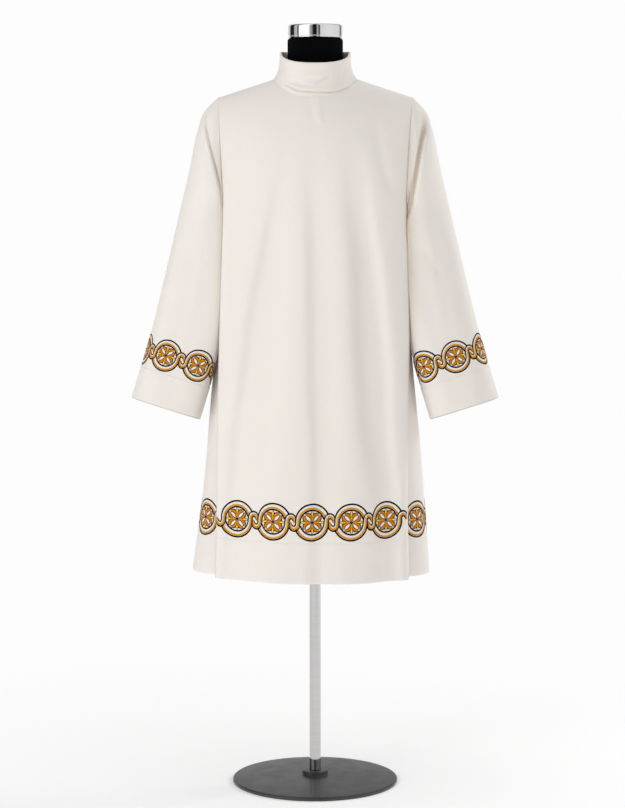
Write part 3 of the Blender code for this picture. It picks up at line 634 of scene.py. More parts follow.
def gore_knots(z):
    """Points that the right gore's outline passes at each height, along a last-but-one axis.

    From behind the front's edge it goes in, round the pleat's inner fold on a half circle, along a
    squarish oval round the side, and the same way back to the pleat at the back.
    """
    side_half = column(GORES, "side_half", z)
    halves = []
    for side in (-1, 1):
        edge_x, edge_y = panel_edge(z, side)
        fold_x = edge_x - column(GORES, "pleat_in", z)
        fold_y = edge_y - side * column(GORES, "pleat_behind", z)
        oval = np.abs(fold_y) / (1 - (fold_x / side_half) ** GORE_POWER) ** (1 / GORE_POWER)
        knots = [(edge_x - GORE_EDGE, edge_y - side * GORE_BEHIND)]
        for turn in (0.0, 0.5, 1.0):
            angle = math.pi * (turn - 0.5)
            knots.append((fold_x - FOLD_RADIUS * math.cos(angle),
                          fold_y + side * FOLD_RADIUS * (1 - math.sin(angle))))
        fold_angle = np.arccos((fold_x / side_half) ** (GORE_POWER / 2))
        for share in np.linspace(0, 1, GORE_ARC_KNOTS)[1:]:
            angle = fold_angle * (1 - share)
            knots.append((side_half * np.cos(angle) ** (2 / GORE_POWER),
                          side * oval * np.sin(angle) ** (2 / GORE_POWER)))
        halves.append(knots)
    return np.stack([np.stack(knot, axis=-1) for knot in halves[0] + halves[1][-2::-1]], axis=-2)


def gore_surface(side):
    """Surface of the right (side +1) or left (side -1) gore over the place among its knots and the
    height: a cubic through four knots, with slopes from the knots beside each."""

    def surface(place, z):
        place, z = np.broadcast_arrays(place, z)
        knots = gore_knots(z)
        row = np.clip(np.floor(place).astype(int), 0, GORE_LAST - 1)
        t = (place - row)[..., None]
        rows = [np.clip(row + step, 0, GORE_LAST)[..., None, None] for step in (-1, 0, 1, 2)]
        near = [np.take_along_axis(knots, index, axis=-2)[..., 0, :] for index in rows]
        flat = cubic(t, near[1], near[2], (near[2] - near[0]) / 2, (near[3] - near[1]) / 2)
        bow = GORE_BOW * np.sin(GORE_BOW_TURNS * z + GORE_BOW_START * side)
        bow = bow * ease((GORE_BOW_TOP - z) / GORE_BOW_FADE)
        out = hem_relief(place * GORE_STEP, z - HEM_HEIGHT, HEM_DEPTH) + bow
        out = out * hump((place - GORE_LAST / 2) / (GORE_MIDDLE * GORE_LAST))
        turn = math.pi * (place / GORE_LAST - 0.5)
        x = side * (flat[..., 0] + out * np.cos(turn))
        y = flat[..., 1] + out * np.sin(turn)
        return np.stack([x + column(SECTIONS, "shift", z), y, z + hem_lift(x, z)], axis=-1)

    return surface


# Sleeves

def armhole(share):
    """Armhole, from the shoulder (0) down a panel's edge to the middle of the underarm (1).

    Positive shares run down the front's edge and negative ones down the back's.
    """
    in_front = share >= 0
    share = np.abs(share)
    down = np.minimum(share / ARMHOLE_EDGE_SHARE, 1.0) ** ARMHOLE_POWER
    top = ridge_height(SECTIONS["panel_half"][-1])
    edge_z = mix(top, ARMHOLE_LOW, down)
    edge_x = column(SECTIONS, "panel_half", edge_z)
    edge_y = by_side(in_front, panel_depth, edge_x, edge_z)
    under = np.clip((share - ARMHOLE_EDGE_SHARE) / (1 - ARMHOLE_EDGE_SHARE), 0.0, 1.0)
    x = mix(edge_x + ARMHOLE_SPACE, SLEEVE["inner_x"][0], ease(under))
    y = edge_y * (1 - under)
    z = mix(edge_z, SLEEVE["inner_z"][0], ease(2 * under))
    return x, y, z


def beside_crease(side, x, z):
    """Distance outwards from the slanting crease of a sleeve, and how strong it is at a height."""
    fold = of_side(SLEEVE_FOLDS, side)
    crease_x = np.interp(z, (fold["end_z"], fold["top_z"]), (fold["end_x"], fold["top_x"]))
    return x - crease_x, ease((z - fold["low"]) / CREASE_FADE) * ease((CREASE_HIGH - z) / CREASE_FADE)


def sleeve_shade(side, turn, points):
    """Painted shade on the front of a sleeve: a dark brown strip along the crease with a sharp outer edge,
    and painted shade in the hollow beside the panel's edge that fades by e to the power of minus the
    distance."""
    x, z = side * points[..., 0], points[..., 2]
    fold = of_side(SLEEVE_FOLDS, side)
    outside, along = beside_crease(side, x, z)
    inner = ease(0.5 + (outside + fold["shade_width"]) / CREASE_SHADE_SOFT)
    crease = fold["shade"] * along * inner * ease(0.5 - outside / CREASE_SHADE_SHARP)
    edge = column(SECTIONS, "panel_half", z) + side * column(SECTIONS, "shift", z)
    sewn = ease((z - EDGE_SHADE_SEWN_LOW) / EDGE_SHADE_SEWN_RISE)
    reach = mix(of_side(EDGE_SHADE_REACH, side), EDGE_SHADE_REACH_SEWN, sewn)
    hollow = np.minimum(EDGE_SHADE_FULL * np.exp(-np.maximum(x - edge, 0.0) / reach), 1.0)
    hollow = hollow * column(EDGE_SHADE, of_side(("left", "right"), side), z)
    return np.maximum(crease, hollow) * np.clip(4 * np.sin(math.pi * turn), 0.0, 1.0)


def sleeve_surface(side):
    """Surface of the right (side +1) or left (side -1) sleeve over the turn round it and the share of
    its length.

    The turn is 0 outside, 0.5 at the front, 1 inside and -0.5 at the back. A ring is an oval through
    the outer edge, the front, the inner edge and the back. The first rings are mixed with the
    armhole's outline, and the inner side is kept outside the body.
    """

    def surface(turn, share):
        turn, share = np.broadcast_arrays(turn, share)
        angle = math.pi * turn
        cosine, sine = np.cos(angle), np.sin(angle)
        outer_x, outer_z, inner_x, inner_z, front, back, forward = [
            column(SLEEVE, name, share, key="share") for name in SLEEVE.dtype.names[1:]]
        power = np.where((cosine < 0) & (sine > 0), SLEEVE_SQUARE, 2.0)
        swell = (np.abs(cosine) ** power + np.abs(sine) ** power) ** (-1 / power)
        swell = mix(1.0, swell, ease(share / SLEEVE_SQUARE_SHARE))
        out = (1 + swell * cosine) / 2
        depth = np.where(turn >= 0, front, back) * swell * sine
        x = mix(inner_x, outer_x, out)
        y = -forward - depth
        z = mix(inner_z, outer_z, out) + SLEEVE_TILT * depth * share

        hole_x, hole_y, hole_z = armhole(turn)
        hole_x = hole_x + side * column(SECTIONS, "shift", hole_z)
        settle = ease(share / mix(SLEEVE_ROUND_TOP, SLEEVE_ROUND_OUT, sine ** 2))
        stand = SLEEVE_STAND * np.minimum(share / SLEEVE_STAND_SHARE, 1.0) * sine ** 2
        x = mix(hole_x + stand, x, settle)
        y = mix(hole_y, y, settle)
        z = mix(hole_z, z, settle)

        fold = of_side(SLEEVE_FOLDS, side)
        outside, along = beside_crease(side, x, z)
        step = CREASE_STEP * ease(0.5 + outside / (2 * CREASE_HALF_WIDTH)) * hump(outside / CREASE_REACH)
        groove = hump(outside / np.where(outside < 0, fold["groove_width"], CREASE_WALL_WIDTH))
        step = (step - fold["groove"] * groove) * along
        y = y - step * np.clip(sine, 0.0, 1.0) * ease(share / CREASE_START)

        relief = crease_relief(turn, share, SLEEVE_CREASES) * ease(share / SLEEVE_CREASE_SHARE)
        relief = relief + hem_relief(SLEEVE_RADIUS * angle, SLEEVE_LENGTH * (1 - share), CUFF_HEM_DEPTH)
        relief = relief - SEAM_SINK * hump(share * SLEEVE_LENGTH / SEAM_WIDTH)
        x = x + relief * cosine
        y = y - relief * sine

        shift = side * column(SECTIONS, "shift", z)
        edge = column(SECTIONS, "panel_half", z) + SLEEVE_CLEAR_EDGE + shift
        limit = np.maximum(edge, column(GORES, "side_half", z) + SLEEVE_CLEAR + shift)
        before = np.clip((sine - SLEEVE_BEFORE) / SLEEVE_BEFORE_RISE, 0.0, 1.0)
        limit = mix(limit, edge, before)
        lean = SLEEVE_LEAN * before * ease((z - SLEEVE_LEAN_LOW) / SLEEVE_LEAN_FADES[0])
        lean = lean * ease((ARMHOLE_LOW - z) / SLEEVE_LEAN_FADES[1])
        x = x - lean * hump((x - edge) / SLEEVE_LEAN_REACH)
        clear = x - limit
        pushed = limit + 0.5 * (clear + np.sqrt(clear ** 2 + SLEEVE_SOFT ** 2))
        beside = ease((GORE_TOP + SLEEVE_CLEAR_RISE - z) / SLEEVE_CLEAR_RISE)
        x = mix(x, pushed, ease(share / SLEEVE_CLEAR_START) * beside)
        return np.stack([side * x, y, z], axis=-1)

    return surface


# Collar

def collar_creases(angle, up):
    """Relief of the creases; the angle is counted from the front to both sides."""
    return crease_relief(np.where(angle > math.pi, angle - 2 * math.pi, angle), up, COLLAR_CREASES)


def collar_surface(angle, up, out):
    """Collar over the angle, the share of its height and the distance from its middle layer.

    Rings run from the neckline up to the top edge, which is narrower and lowest in front: the share
    narrowed is 1 - (1 - up) to a power. Creases are bells across the height or the angle.
    """
    base_x, base_y, base_z = neckline(angle)
    across = rounded(np.sin(angle), NECK_POWER)
    along = rounded(np.cos(angle), NECK_POWER)
    top_x = COLLAR_TOP_HALF_WIDTH * across
    top_y = -np.where(along > 0, COLLAR_TOP_FRONT, COLLAR_TOP_BACK) * along
    before = (np.sqrt(top_y ** 2 + COLLAR_TOP_BEND ** 2) - top_y) / 2
    top_z = COLLAR_TOP_HEIGHT + COLLAR_BACK_RISE * top_y - (COLLAR_TOP_RISE - COLLAR_BACK_RISE) * before
    narrowed = 1 - (1 - np.clip(up, 0.0, 1.0)) ** COLLAR_FLARE
    out = out + collar_creases(angle, up)
    reach = np.hypot(across, along)
    x = mix(base_x, top_x, narrowed) + out * across / reach
    y = mix(base_y, top_y, narrowed) - out * along / reach
    z = mix(base_z - COLLAR_TUCK, top_z, up)
    return np.stack([x, y, z], axis=-1)


# Dress form and stand

def smooth_rows(rings, count):
    """A cubic curve down each column of a stack of rings, read at evenly spaced places."""
    place = np.linspace(0, len(rings) - 1, count)
    row = np.clip(np.floor(place).astype(int), 0, len(rings) - 2)
    t = (place - row)[:, None, None]
    slopes = np.gradient(rings, axis=0)
    return cubic(t, rings[row], rings[row + 1], slopes[row], slopes[row + 1])


def torso_points():
    """The form, neck first: ovals, each a power curve, whose sizes are read from the table, then the
    shoulders under the cloth's shoulder line and the round neck with its rounded top edge."""
    angle = np.linspace(0, 2 * math.pi, FORM_COLUMNS, endpoint=False)
    rings = []

    def ring(height, half_width, middle, front, back, power):
        x = half_width * rounded(np.cos(angle), power)
        along = rounded(np.sin(angle), power)
        y = middle + np.where(along < 0, front + middle, back - middle) * along
        rings.append(np.stack([x, y, np.full(FORM_COLUMNS, height)], axis=1))

    for row in FORM:
        lean = ease((row["height"] - FORM_LEAN_HEIGHT) / FORM_LEAN_RISE)
        ring(row["height"], row["half_width"], lean * ridge_depth(row["half_width"]),
             row["front"], row["back"], row["power"])
    for height in FORM_SHOULDER_HEIGHTS:
        reach = ridge_reach(height + FORM_UNDER_CLOTH)
        ring(height, reach, ridge_depth(reach), FORM_SHOULDER_FRONT, FORM_SHOULDER_BACK,
             FORM_SHOULDER_POWER)
    ring(*FORM_NECK_ROOT)
    body = smooth_rows(np.stack(rings), FORM_ROWS)
    neck = [(NECK_RADIUS, height) for height in FORM_NECK_HEIGHTS]
    neck += quarter(NECK_RADIUS, NECK_TOP, NECK_EDGE, 0, 90)
    return np.concatenate([body, turned_points(neck, FORM_COLUMNS)])[::-1]


def quarter(radius, height, edge, first, last, count=6):
    """Points of a rounded edge: an arc from one angle to another round (radius - edge, height - edge)."""
    turns = np.radians(np.linspace(first, last, count))
    return [(radius - edge + edge * math.cos(turn), height - edge + edge * math.sin(turn)) for turn in turns]


def turned_points(profile, sides=ROUND_SIDES):
    """A body turned round the Z axis: each point (radius, height) of the profile becomes a circle."""
    radius, height = np.array(profile).T[:, :, None]
    angle = np.linspace(0, 2 * math.pi, sides, endpoint=False)[None, :]
    return np.stack([radius * np.cos(angle), radius * np.sin(angle), height + 0 * angle], axis=-1)


# Meshes

def grid_faces(rows, columns, closed_rows=False, closed_columns=False):
    """Indices of the faces between the points of a grid, and of the points of its map."""
    index = np.arange(rows * columns).reshape(rows, columns)
    chart = np.arange((rows + closed_rows) * (columns + closed_columns))
    chart = chart.reshape(rows + closed_rows, columns + closed_columns)
    if closed_columns:
        index = np.concatenate([index, index[:, :1]], axis=1)
    if closed_rows:
        index = np.concatenate([index, index[:1]], axis=0)
    corners = [grid[a, b].reshape(-1) for grid in (index, chart)
               for a, b in ((slice(None, -1), slice(None, -1)), (slice(1, None), slice(None, -1)),
                            (slice(1, None), slice(1, None)), (slice(None, -1), slice(1, None)))]
    return np.stack(corners[:4], axis=1), np.stack(corners[4:], axis=1)


def end_faces(rows, columns):
    """The faces that close a grid over its first and its last ring."""
    return [list(range(columns)), list(range(rows * columns - 1, (rows - 1) * columns - 1, -1))]


def chart_of(points, closed_rows=False, closed_columns=False):
    """A flat map of a grid, in metres: distance along its middle row and along its middle column."""
    rows, columns = points.shape[:2]
    row = points[rows // 2]
    col = points[:, columns // 2]
    u = cumulative(np.concatenate([row, row[:1]]) if closed_columns else row)
    v = cumulative(np.concatenate([col, col[:1]]) if closed_rows else col)
    return np.stack(np.broadcast_arrays(u[None, :], -v[:, None]), axis=-1).reshape(-1, 2)


def grid_mesh(name, points, closed_rows=False, closed_columns=False, caps=False):
    """Mesh of a grid of points. Its rows run downwards and its columns to the right as seen from
    outside; caps are flat faces over its first and its last ring."""
    rows, columns = points.shape[:2]
    faces, chart_faces = grid_faces(rows, columns, closed_rows, closed_columns)
    chart = chart_of(points, closed_rows, closed_columns)[chart_faces.reshape(-1)]
    face_list = faces.tolist()
    if caps:
        face_list += end_faces(rows, columns)
        ends = np.concatenate([points[0, :, :2], points[-1, ::-1, :2]])
        chart = np.concatenate([chart, ends])
    mesh = bpy.data.meshes.new(name)
    mesh.from_pydata(points.reshape(-1, 3).tolist(), [], face_list)
    layer = mesh.uv_layers.new(name="cloth")
    layer.data.foreach_set("uv", chart.astype(np.float32).ravel())
    mesh.shade_smooth()
    return mesh


def add_object(name, data):
    """A new object in the scene."""
    item = bpy.data.objects.new(name, data)
    bpy.context.scene.collection.objects.link(item)
    return item


def place_piece(name, mesh, materials, replaces=()):
    """Adds a piece to the scene, to ride on the object's one body."""
    piece = add_object(name, mesh)
    for material in materials:
        mesh.materials.append(material)
    if replaces:
        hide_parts(*replaces)
    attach(piece, "root")
    return piece


def add_shade(mesh, shade):
    """Stores the painted shade of each point of a cloth piece: how far its colour turns to the dark brown of
    its hollows.
    """
    layer = mesh.attributes.new("shade", "FLOAT", "POINT")
    layer.data.foreach_set("value", np.asarray(shade, np.float32).ravel())


def add_cloth(node, points, hem_rows, shade=0.0, closed=False):
    """A cloth piece in place of its solid: a sheet with a thin wall, thicker where the hem is turned up."""
    cloth = bpy.context.scene.surplice_cloth
    mesh = grid_mesh(node + "_cloth", points, closed_columns=closed)
    add_shade(mesh, np.broadcast_to(shade, points.shape[:2]))
    piece = place_piece(mesh.name, mesh, [cloth_material()], replaces=(node,))
    hem = piece.vertex_groups.new(name="hem")
    hem.add(np.flatnonzero(hem_rows.ravel()).tolist(), 1.0, "REPLACE")
    wall = piece.modifiers.new("wall", "SOLIDIFY")
    wall.thickness = cloth.hem_wall
    wall.offset = 0.0
    wall.vertex_group = "hem"
    wall.thickness_vertex_group = cloth.wall / cloth.hem_wall
    return piece


# Embroidery, drawn flat in millimetres: x to the right along the band, y up from its middle

RIBBON = table("angle radius half", [
    (195, 32.15, 8.3), (270, 32.1, 8.3), (304, 31.6, 7.8), (327, 31.1, 7.1), (345, 30.6, 6.5),
    (360, 30.3, 6.3),
])
HOOK = table("at x y half gold", [
    (0, 30.5, 2.5, 6.0, 0.0), (1, 31.1, 6.0, 6.0, 0.0), (2, 33.0, 10.2, 6.5, 0.0), (3, 37.4, 13.0, 7.0, 0.0),
    (4, 42.6, 11.3, 6.6, 0.25), (5, 45.3, 6.6, 4.6, 0.8), (6, 46.0, 2.4, 2.9, 1.0), (7, 46.7, -0.8, 0.8, 1.0),
])
RING_ROWS = 38
HOOK_ROWS = 30
BLACK_EDGE = 3.9          # width of a ribbon's black edge, and its largest share of the half width
BLACK_SHARE = 0.48
GOLD_STRIPE = 4.5         # the same of its gold stripe
GOLD_SHARE = 0.9
GOLD_LEAVES = 0.02        # width of the white where the gold widens over it
GROUND_RADIUS = 25.0
GROUND_HEIGHT = 0.12
THREADS = ("white", "gold", "black", "bright", "amber", "ground")
WHITE, GOLD, BLACK, BRIGHT, AMBER, GROUND = range(len(THREADS))
# Leaves of the upper arm, under ones first: a curve over three points, half width in its middle, how
# far the dark thread shows round it, how blunt its ends are, thread and height
LEAVES = table("x0 y0 x1 y1 x2 y2 half edge blunt thread height", [
    (-0.8, 3.0, -2.2, 16.2, -15.4, 18.2, 4.6, 2.3, 0.55, AMBER, 0.50),
    (0.8, 3.0, 2.2, 16.2, 15.4, 18.2, 4.6, 2.3, 0.55, AMBER, 0.54),
    (0.0, 2.0, 0.0, 9.0, 0.0, 18.0, 1.9, 1.1, 0.50, GOLD, 0.76),
    (0.0, 13.0, 0.0, 19.0, 0.0, 24.6, 2.8, 1.1, 0.60, BRIGHT, 0.88),
])
LEAF_EDGE_DROP = 0.07     # how much lower the dark thread round a leaf lies, and how high the leaf starts
LEAF_BASE = 0.06
LEAF_ROWS = 11
LEAF_TIP = 0.015          # share of the curve that is cut off at each end
PETAL = (0.0, 4.2, 0.0, 12.5, 0.0, 20.6)    # a curve over three points
# The dark thread round a petal and the petal: half width, how blunt its ends are, height, start
PETAL_LAYERS = ((6.2, 0.6, 0.72, 0.0, BLACK), (3.9, 0.75, 0.80, 0.02, WHITE))
# The knot in the middle of a roundel: radius, height, thread, sides
KNOT = ((3.2, 0.90, BLACK, 16), (1.0, 1.05, GOLD, 10))
STITCH_LENGTH = 2.6
STITCH_HALF = 0.34
STITCH_HEIGHT = 0.30
LIFT = 0.35               # how much higher a ribbon lies where it passes over another, from which of its
LIFT_START = 24           # rows on, and over how many
LIFT_ROWS = 14
THREAD_SINK = 0.25        # how deep the edges of the thread lie in the cloth
STRIP_WIDTH = 1.2         # a narrower strip is lower, down to a share of its height
STRIP_LEAST = 0.15
ARCH = table("share rise", [(0.0, 0.0), (0.14, 0.76), (0.5, 1.0), (0.86, 0.76), (1.0, 0.0)])
MM = 0.001


def strip(path, low, high, height, base, thread, flip=False):
    """One strip of raised thread along a path: its section is a flat arch from its right edge to its
    left one, whose feet lie in the cloth. Its map holds the distance along it and the share across,
    counted from the left edge where it is flipped."""
    rows = len(path)
    ahead = unit(np.gradient(path, axis=0))
    left = np.stack([-ahead[:, 1], ahead[:, 0]], axis=1)
    across = mix(np.asarray(low)[:, None], np.asarray(high)[:, None], ARCH["share"])
    flat = path[:, None, :] + left[:, None, :] * across[..., None]
    full = np.clip((high - low) / STRIP_WIDTH, STRIP_LEAST, 1.0)[:, None]
    rise = np.asarray(base)[:, None] + height * full * ARCH["rise"]
    rise[:, [0, -1]] = -THREAD_SINK
    faces, chart_faces = grid_faces(rows, len(ARCH), closed_columns=True)
    shares = np.append(ARCH["share"], 0.0)
    if flip:
        shares = 1 - shares
    chart = np.stack(np.broadcast_arrays(cumulative(path)[:, None] * MM, shares[None, :]), axis=-1)
    chart = np.concatenate([chart.reshape(-1, 2)[chart_faces.reshape(-1)], np.zeros((2 * len(ARCH), 2))])
    points = np.concatenate([flat, rise[..., None]], axis=2).reshape(-1, 3) * MM
    return points, faces.tolist() + end_faces(rows, len(ARCH)), chart, thread


def ribbon(turned):
    """The four strips of a ribbon: a path along an arc of the ring and then round the hook, both read
    from their tables. The upper ribbon is turned by half a turn, and its gold is on its inner side."""
    angle = np.linspace(RIBBON["angle"][0], RIBBON["angle"][-1], RING_ROWS)
    ring = column(RIBBON, "radius", angle, key="angle")
    ring = np.stack([ring * np.cos(np.radians(angle)), ring * np.sin(np.radians(angle))], axis=1)
    at = np.linspace(0, HOOK["at"][-1], HOOK_ROWS)
    x, y, hook_half, hook_gold = [column(HOOK, name, at, key="at") for name in ("x", "y", "half", "gold")]
    path = np.concatenate([ring, np.stack([x, y], axis=1)])
    half = np.concatenate([column(RIBBON, "half", angle, key="angle"), hook_half])
    lift = LIFT * ease((np.arange(len(path)) - LIFT_START) / LIFT_ROWS)
    widen = np.concatenate([0 * angle, np.clip(hook_gold, 0.0, 1.0)])
    black = np.minimum(BLACK_EDGE, BLACK_SHARE * half)
    gold = mix(np.minimum(GOLD_STRIPE, GOLD_SHARE * half), 2 * (half - black) - GOLD_LEAVES, widen)
    if turned:
        path = -path
        edges = (half, half - black, half - black - gold, black - half, -half)
        threads = (BLACK, GOLD, WHITE, BLACK)
    else:
        edges = (half, half - black, black - half + gold, black - half, -half)
        threads = (BLACK, WHITE, GOLD, BLACK)
    heights = {BLACK: 0.60, GOLD: 0.50, WHITE: 0.50}
    return [strip(path, edges[step + 1], edges[step], heights[thread], lift, thread, flip=turned)
            for step, thread in enumerate(threads)]


def leaf(bend, half, blunt, height, base, thread, turn):
    """A leaf: the curve a(1 - t)^2 + 2bt(1 - t) + ct^2, as wide as the sine of pi t to a power, turned
    round the middle of the roundel."""
    t = np.linspace(LEAF_TIP, 1 - LEAF_TIP, LEAF_ROWS)[:, None]
    a, b, c = np.array(bend).reshape(3, 2)
    path = a * (1 - t) ** 2 + 2 * b * t * (1 - t) + c * t ** 2
    spin = np.array([[math.cos(turn), math.sin(turn)], [-math.sin(turn), math.cos(turn)]])
    width = half * np.sin(math.pi * t[:, 0]) ** blunt
    return strip(path @ spin, -width, width, height, np.full(LEAF_ROWS, base), thread)


def disc(radius, height, thread, sides=36):
    """A flat round of thread with a rounded edge, in rings on both sides so that it follows the cloth;
    its map is its own plane, its threads run across."""
    shares = np.linspace(0.02, 1, 3 + int(radius / 4))
    profile = [(share * (radius - 0.5), height) for share in shares]
    profile += [(radius, 0.3 * height - 0.3 * THREAD_SINK)]
    profile += [(share * (radius - 0.2), -THREAD_SINK) for share in shares[::-1]]
    rows = len(profile)
    points = turned_points(profile, sides).reshape(-1, 3) * MM
    faces, _ = grid_faces(rows, sides, closed_columns=True)
    faces = faces.tolist() + end_faces(rows, sides)
    chart = np.array([points[corner, :2] for face in faces for corner in face])
    return points, faces, chart, thread


def roundel():
    """All strips of one roundel: the ground, four petals, four arms of leaves, each over a dark
    outline, the knot in the middle and the two ribbons."""
    strips = [disc(GROUND_RADIUS, GROUND_HEIGHT, GROUND)]
    for turn in np.radians((0, 90, 180, 270)):
        for under in (True, False):
            for row in LEAVES:
                bend = [row[name] for name in ("x0", "y0", "x1", "y1", "x2", "y2")]
                half = row["half"] + row["edge"] * under
                height = row["height"] - LEAF_EDGE_DROP * under
                base, thread = (0.0, BLACK) if under else (LEAF_BASE, int(row["thread"]))
                strips.append(leaf(bend, half, row["blunt"], height, base, thread, turn))
        strips += [leaf(PETAL, *layer, turn + math.pi / 4) for layer in PETAL_LAYERS]
    return strips + [disc(*row) for row in KNOT] + ribbon(True) + ribbon(False)


def stitch():
    """One stitch of the hem: a small raised lens of thread."""
    t = np.linspace(0.04, 0.96, 5)
    path = np.stack([STITCH_LENGTH * (t - 0.5), 0 * t], axis=1)
    width = STITCH_HALF * np.sin(math.pi * t) ** 0.6
    return strip(path, -width, width, STITCH_HEIGHT, 0 * t, WHITE)


def flat_mesh(name, strips, centres, height, scale, limits=None):
    """Flat mesh of strips repeated at each centre, cut off at the limits and closed there."""
    points, faces, threads, charts = [], [], [], []
    start = 0
    for centre in centres:
        for part, part_faces, chart, thread in strips:
            points.append(part * (scale, scale, 1.0) + (centre, height, 0.0))
            faces += [[corner + start for corner in face] for face in part_faces]
            threads += [thread] * len(part_faces)
            charts.append(chart)
            start += len(part)
    mesh = bpy.data.meshes.new(name)
    mesh.from_pydata(np.concatenate(points).tolist(), [], faces)
    mesh.polygons.foreach_set("material_index", threads)
    layer = mesh.uv_layers.new(name="thread")
    layer.data.foreach_set("uv", np.concatenate(charts).astype(np.float32).ravel())
    if limits:
        work = bmesh.new()
        work.from_mesh(mesh)
        for limit, way in zip(limits, (-1, 1)):
            cut = bmesh.ops.bisect_plane(work, geom=work.verts[:] + work.edges[:] + work.faces[:],
                                         plane_co=(limit, 0, 0), plane_no=(way, 0, 0), clear_outer=True)
            rim = [item for item in cut["geom_cut"] if isinstance(item, bmesh.types.BMEdge)]
            bmesh.ops.holes_fill(work, edges=rim, sides=0)
        work.to_mesh(mesh)
        work.free()
    mesh.shade_smooth()
    return mesh


def lay_on(mesh, place, lift):
    """Moves a flat mesh onto a surface: its x and y become the place there and its third value the
    distance outwards, along the cross product of the surface's two directions."""
    flat = np.empty(3 * len(mesh.vertices), np.float32)
    mesh.vertices.foreach_get("co", flat)
    s, up, height = flat.reshape(-1, 3).T.astype(float)
    step = 0.0005
    right = place(s + step, up) - place(s - step, up)
    above = place(s, up + step) - place(s, up - step)
    outward = unit(np.cross(right, above))
    points = place(s, up) + outward * (height + lift)[:, None]
    mesh.vertices.foreach_set("co", points.astype(np.float32).ravel())
    mesh.update()


def row_lengths(line):
    """Distance along a line of points, from its middle one."""
    lengths = cumulative(line)
    return lengths - lengths[len(lengths) // 2]


def panel_place(side):
    """Place on the front or the back by the distance to the right of its middle, as seen from
    outside, and the height above the hem; and the two ends of its row."""
    surface = panel_surface(side)
    across = np.linspace(-1, 1, PANEL_MEASURED)
    lengths = row_lengths(surface(across, np.full(PANEL_MEASURED, HEM_HEIGHT + BAND_MIDDLE)))

    def place(s, up):
        return surface(np.interp(-side * s, lengths, across), HEM_HEIGHT + up)

    reach = min(-lengths[0], lengths[-1]) - BAND_INSET
    return place, (-reach, reach)


def gore_place(side):
    """Place on a gore by the distance to the right of the side line and the height above the hem."""
    surface = gore_surface(side)
    places = np.linspace(0, GORE_LAST, MEASURED)
    lengths = row_lengths(surface(places, np.full(MEASURED, HEM_HEIGHT + GORE_BAND_MIDDLE)))
    ends = np.interp((GORE_BAND_START, GORE_LAST - GORE_BAND_START), places, lengths)

    def place(s, up):
        return surface(np.interp(side * s, lengths, places), HEM_HEIGHT + up)

    return place, tuple(sorted(side * ends))


def sleeve_place(side, band_middle):
    """Place on a sleeve by the distance to the right of its outermost line and the height above its
    cuff. The cuff's share for a height comes from the length of the sleeve's last stretch there."""
    surface = sleeve_surface(side)
    turns = np.linspace(-1, 1, MEASURED)
    cuff = surface(turns, np.ones(MEASURED))
    near = surface(turns, np.full(MEASURED, 1 - SLEEVE_LAST))
    length = np.linalg.norm(cuff - near, axis=1) / SLEEVE_LAST
    lengths = row_lengths(surface(turns, 1 - band_middle / length))

    def place(s, up):
        turn = np.interp(-side * s, lengths, turns)
        return surface(turn, 1 - up / np.interp(turn, turns, length))

    return place, tuple(sorted((-side * lengths[0], -side * lengths[-1])))


# Materials

# Painted shade: how much a strip of thread darkens towards its edges, where it dips; and how much it shines
THREAD_EDGE_SHADE = {"amber": 2.8, "bright": 1.8, "white": 0.4}
THREAD_SHINE = {"white": 0.25, "gold": 0.12, "black": 0.03, "bright": 0.15, "amber": 0.10, "ground": 0.2}


def node_group(name, inputs, outputs):
    """An empty shader node group with named inputs, each with its value, and named outputs."""
    group = bpy.data.node_groups.new(name, "ShaderNodeTree")
    for label, kind, value in inputs:
        socket = group.interface.new_socket(name=label, in_out="INPUT", socket_type="NodeSocket" + kind)
        if value is not None:
            socket.default_value = value
    for label, kind in outputs:
        group.interface.new_socket(name=label, in_out="OUTPUT", socket_type="NodeSocket" + kind)
    return group, group.nodes.new("NodeGroupInput"), group.nodes.new("NodeGroupOutput")


def join(tree, value, socket):
    """Links a node's output to a socket, or sets the socket to a plain value."""
    if isinstance(value, bpy.types.NodeSocket):
        tree.links.new(value, socket)
    else:
        socket.default_value = value


def add_node(tree, kind, inputs, **settings):
    """A node of a kind with these settings and these inputs, each found by its name or number."""
    node = tree.nodes.new("ShaderNode" + kind)
    for name, value in settings.items():
        setattr(node, name, value)
    for name, value in inputs.items():
        join(tree, value, node.inputs[name])
    return node


def math_node(tree, operation, *values):
    """A Math node on one, two or three values or outputs."""
    return add_node(tree, "Math", dict(enumerate(values)), operation=operation).outputs[0]


def mix_colour(tree, share, first, second):
    """A Mix node between two colours."""
    return add_node(tree, "Mix", {0: share, 6: first, 7: second}, data_type="RGBA").outputs[2]


def noise(tree, vector, scale, detail):
    """A Noise node's value."""
    return add_node(tree, "TexNoise", {"Vector": vector, "Scale": scale, "Detail": detail}).outputs["Fac"]


def stretched(tree, vector, scale):
    """A Mapping node that scales the three coordinates by different amounts."""
    return add_node(tree, "Mapping", {"Vector": vector, "Scale": scale}).outputs["Vector"]


def split(tree, vector):
    """The three numbers of a vector."""
    return add_node(tree, "SeparateXYZ", {0: vector}).outputs


def ramp(tree, share, stops):
    """A colour ramp: each stop is a place from 0 to 1 and a colour."""
    node = add_node(tree, "ValToRGB", {"Fac": share})
    elements = node.color_ramp.elements
    while len(elements) < len(stops):
        elements.new(0.5)
    for element, (position, colour) in zip(elements, stops):
        element.position = position
        element.color = colour
    return node.outputs["Color"]


def grey_ramp(tree, share, rows):
    """Greys all round: rows of an angle from -180 to 180 and a brightness, read at the share of the
    full turn."""
    return ramp(tree, share, [(0.5 + angle / 360, (grey, grey, grey, 1.0)) for angle, grey in rows])


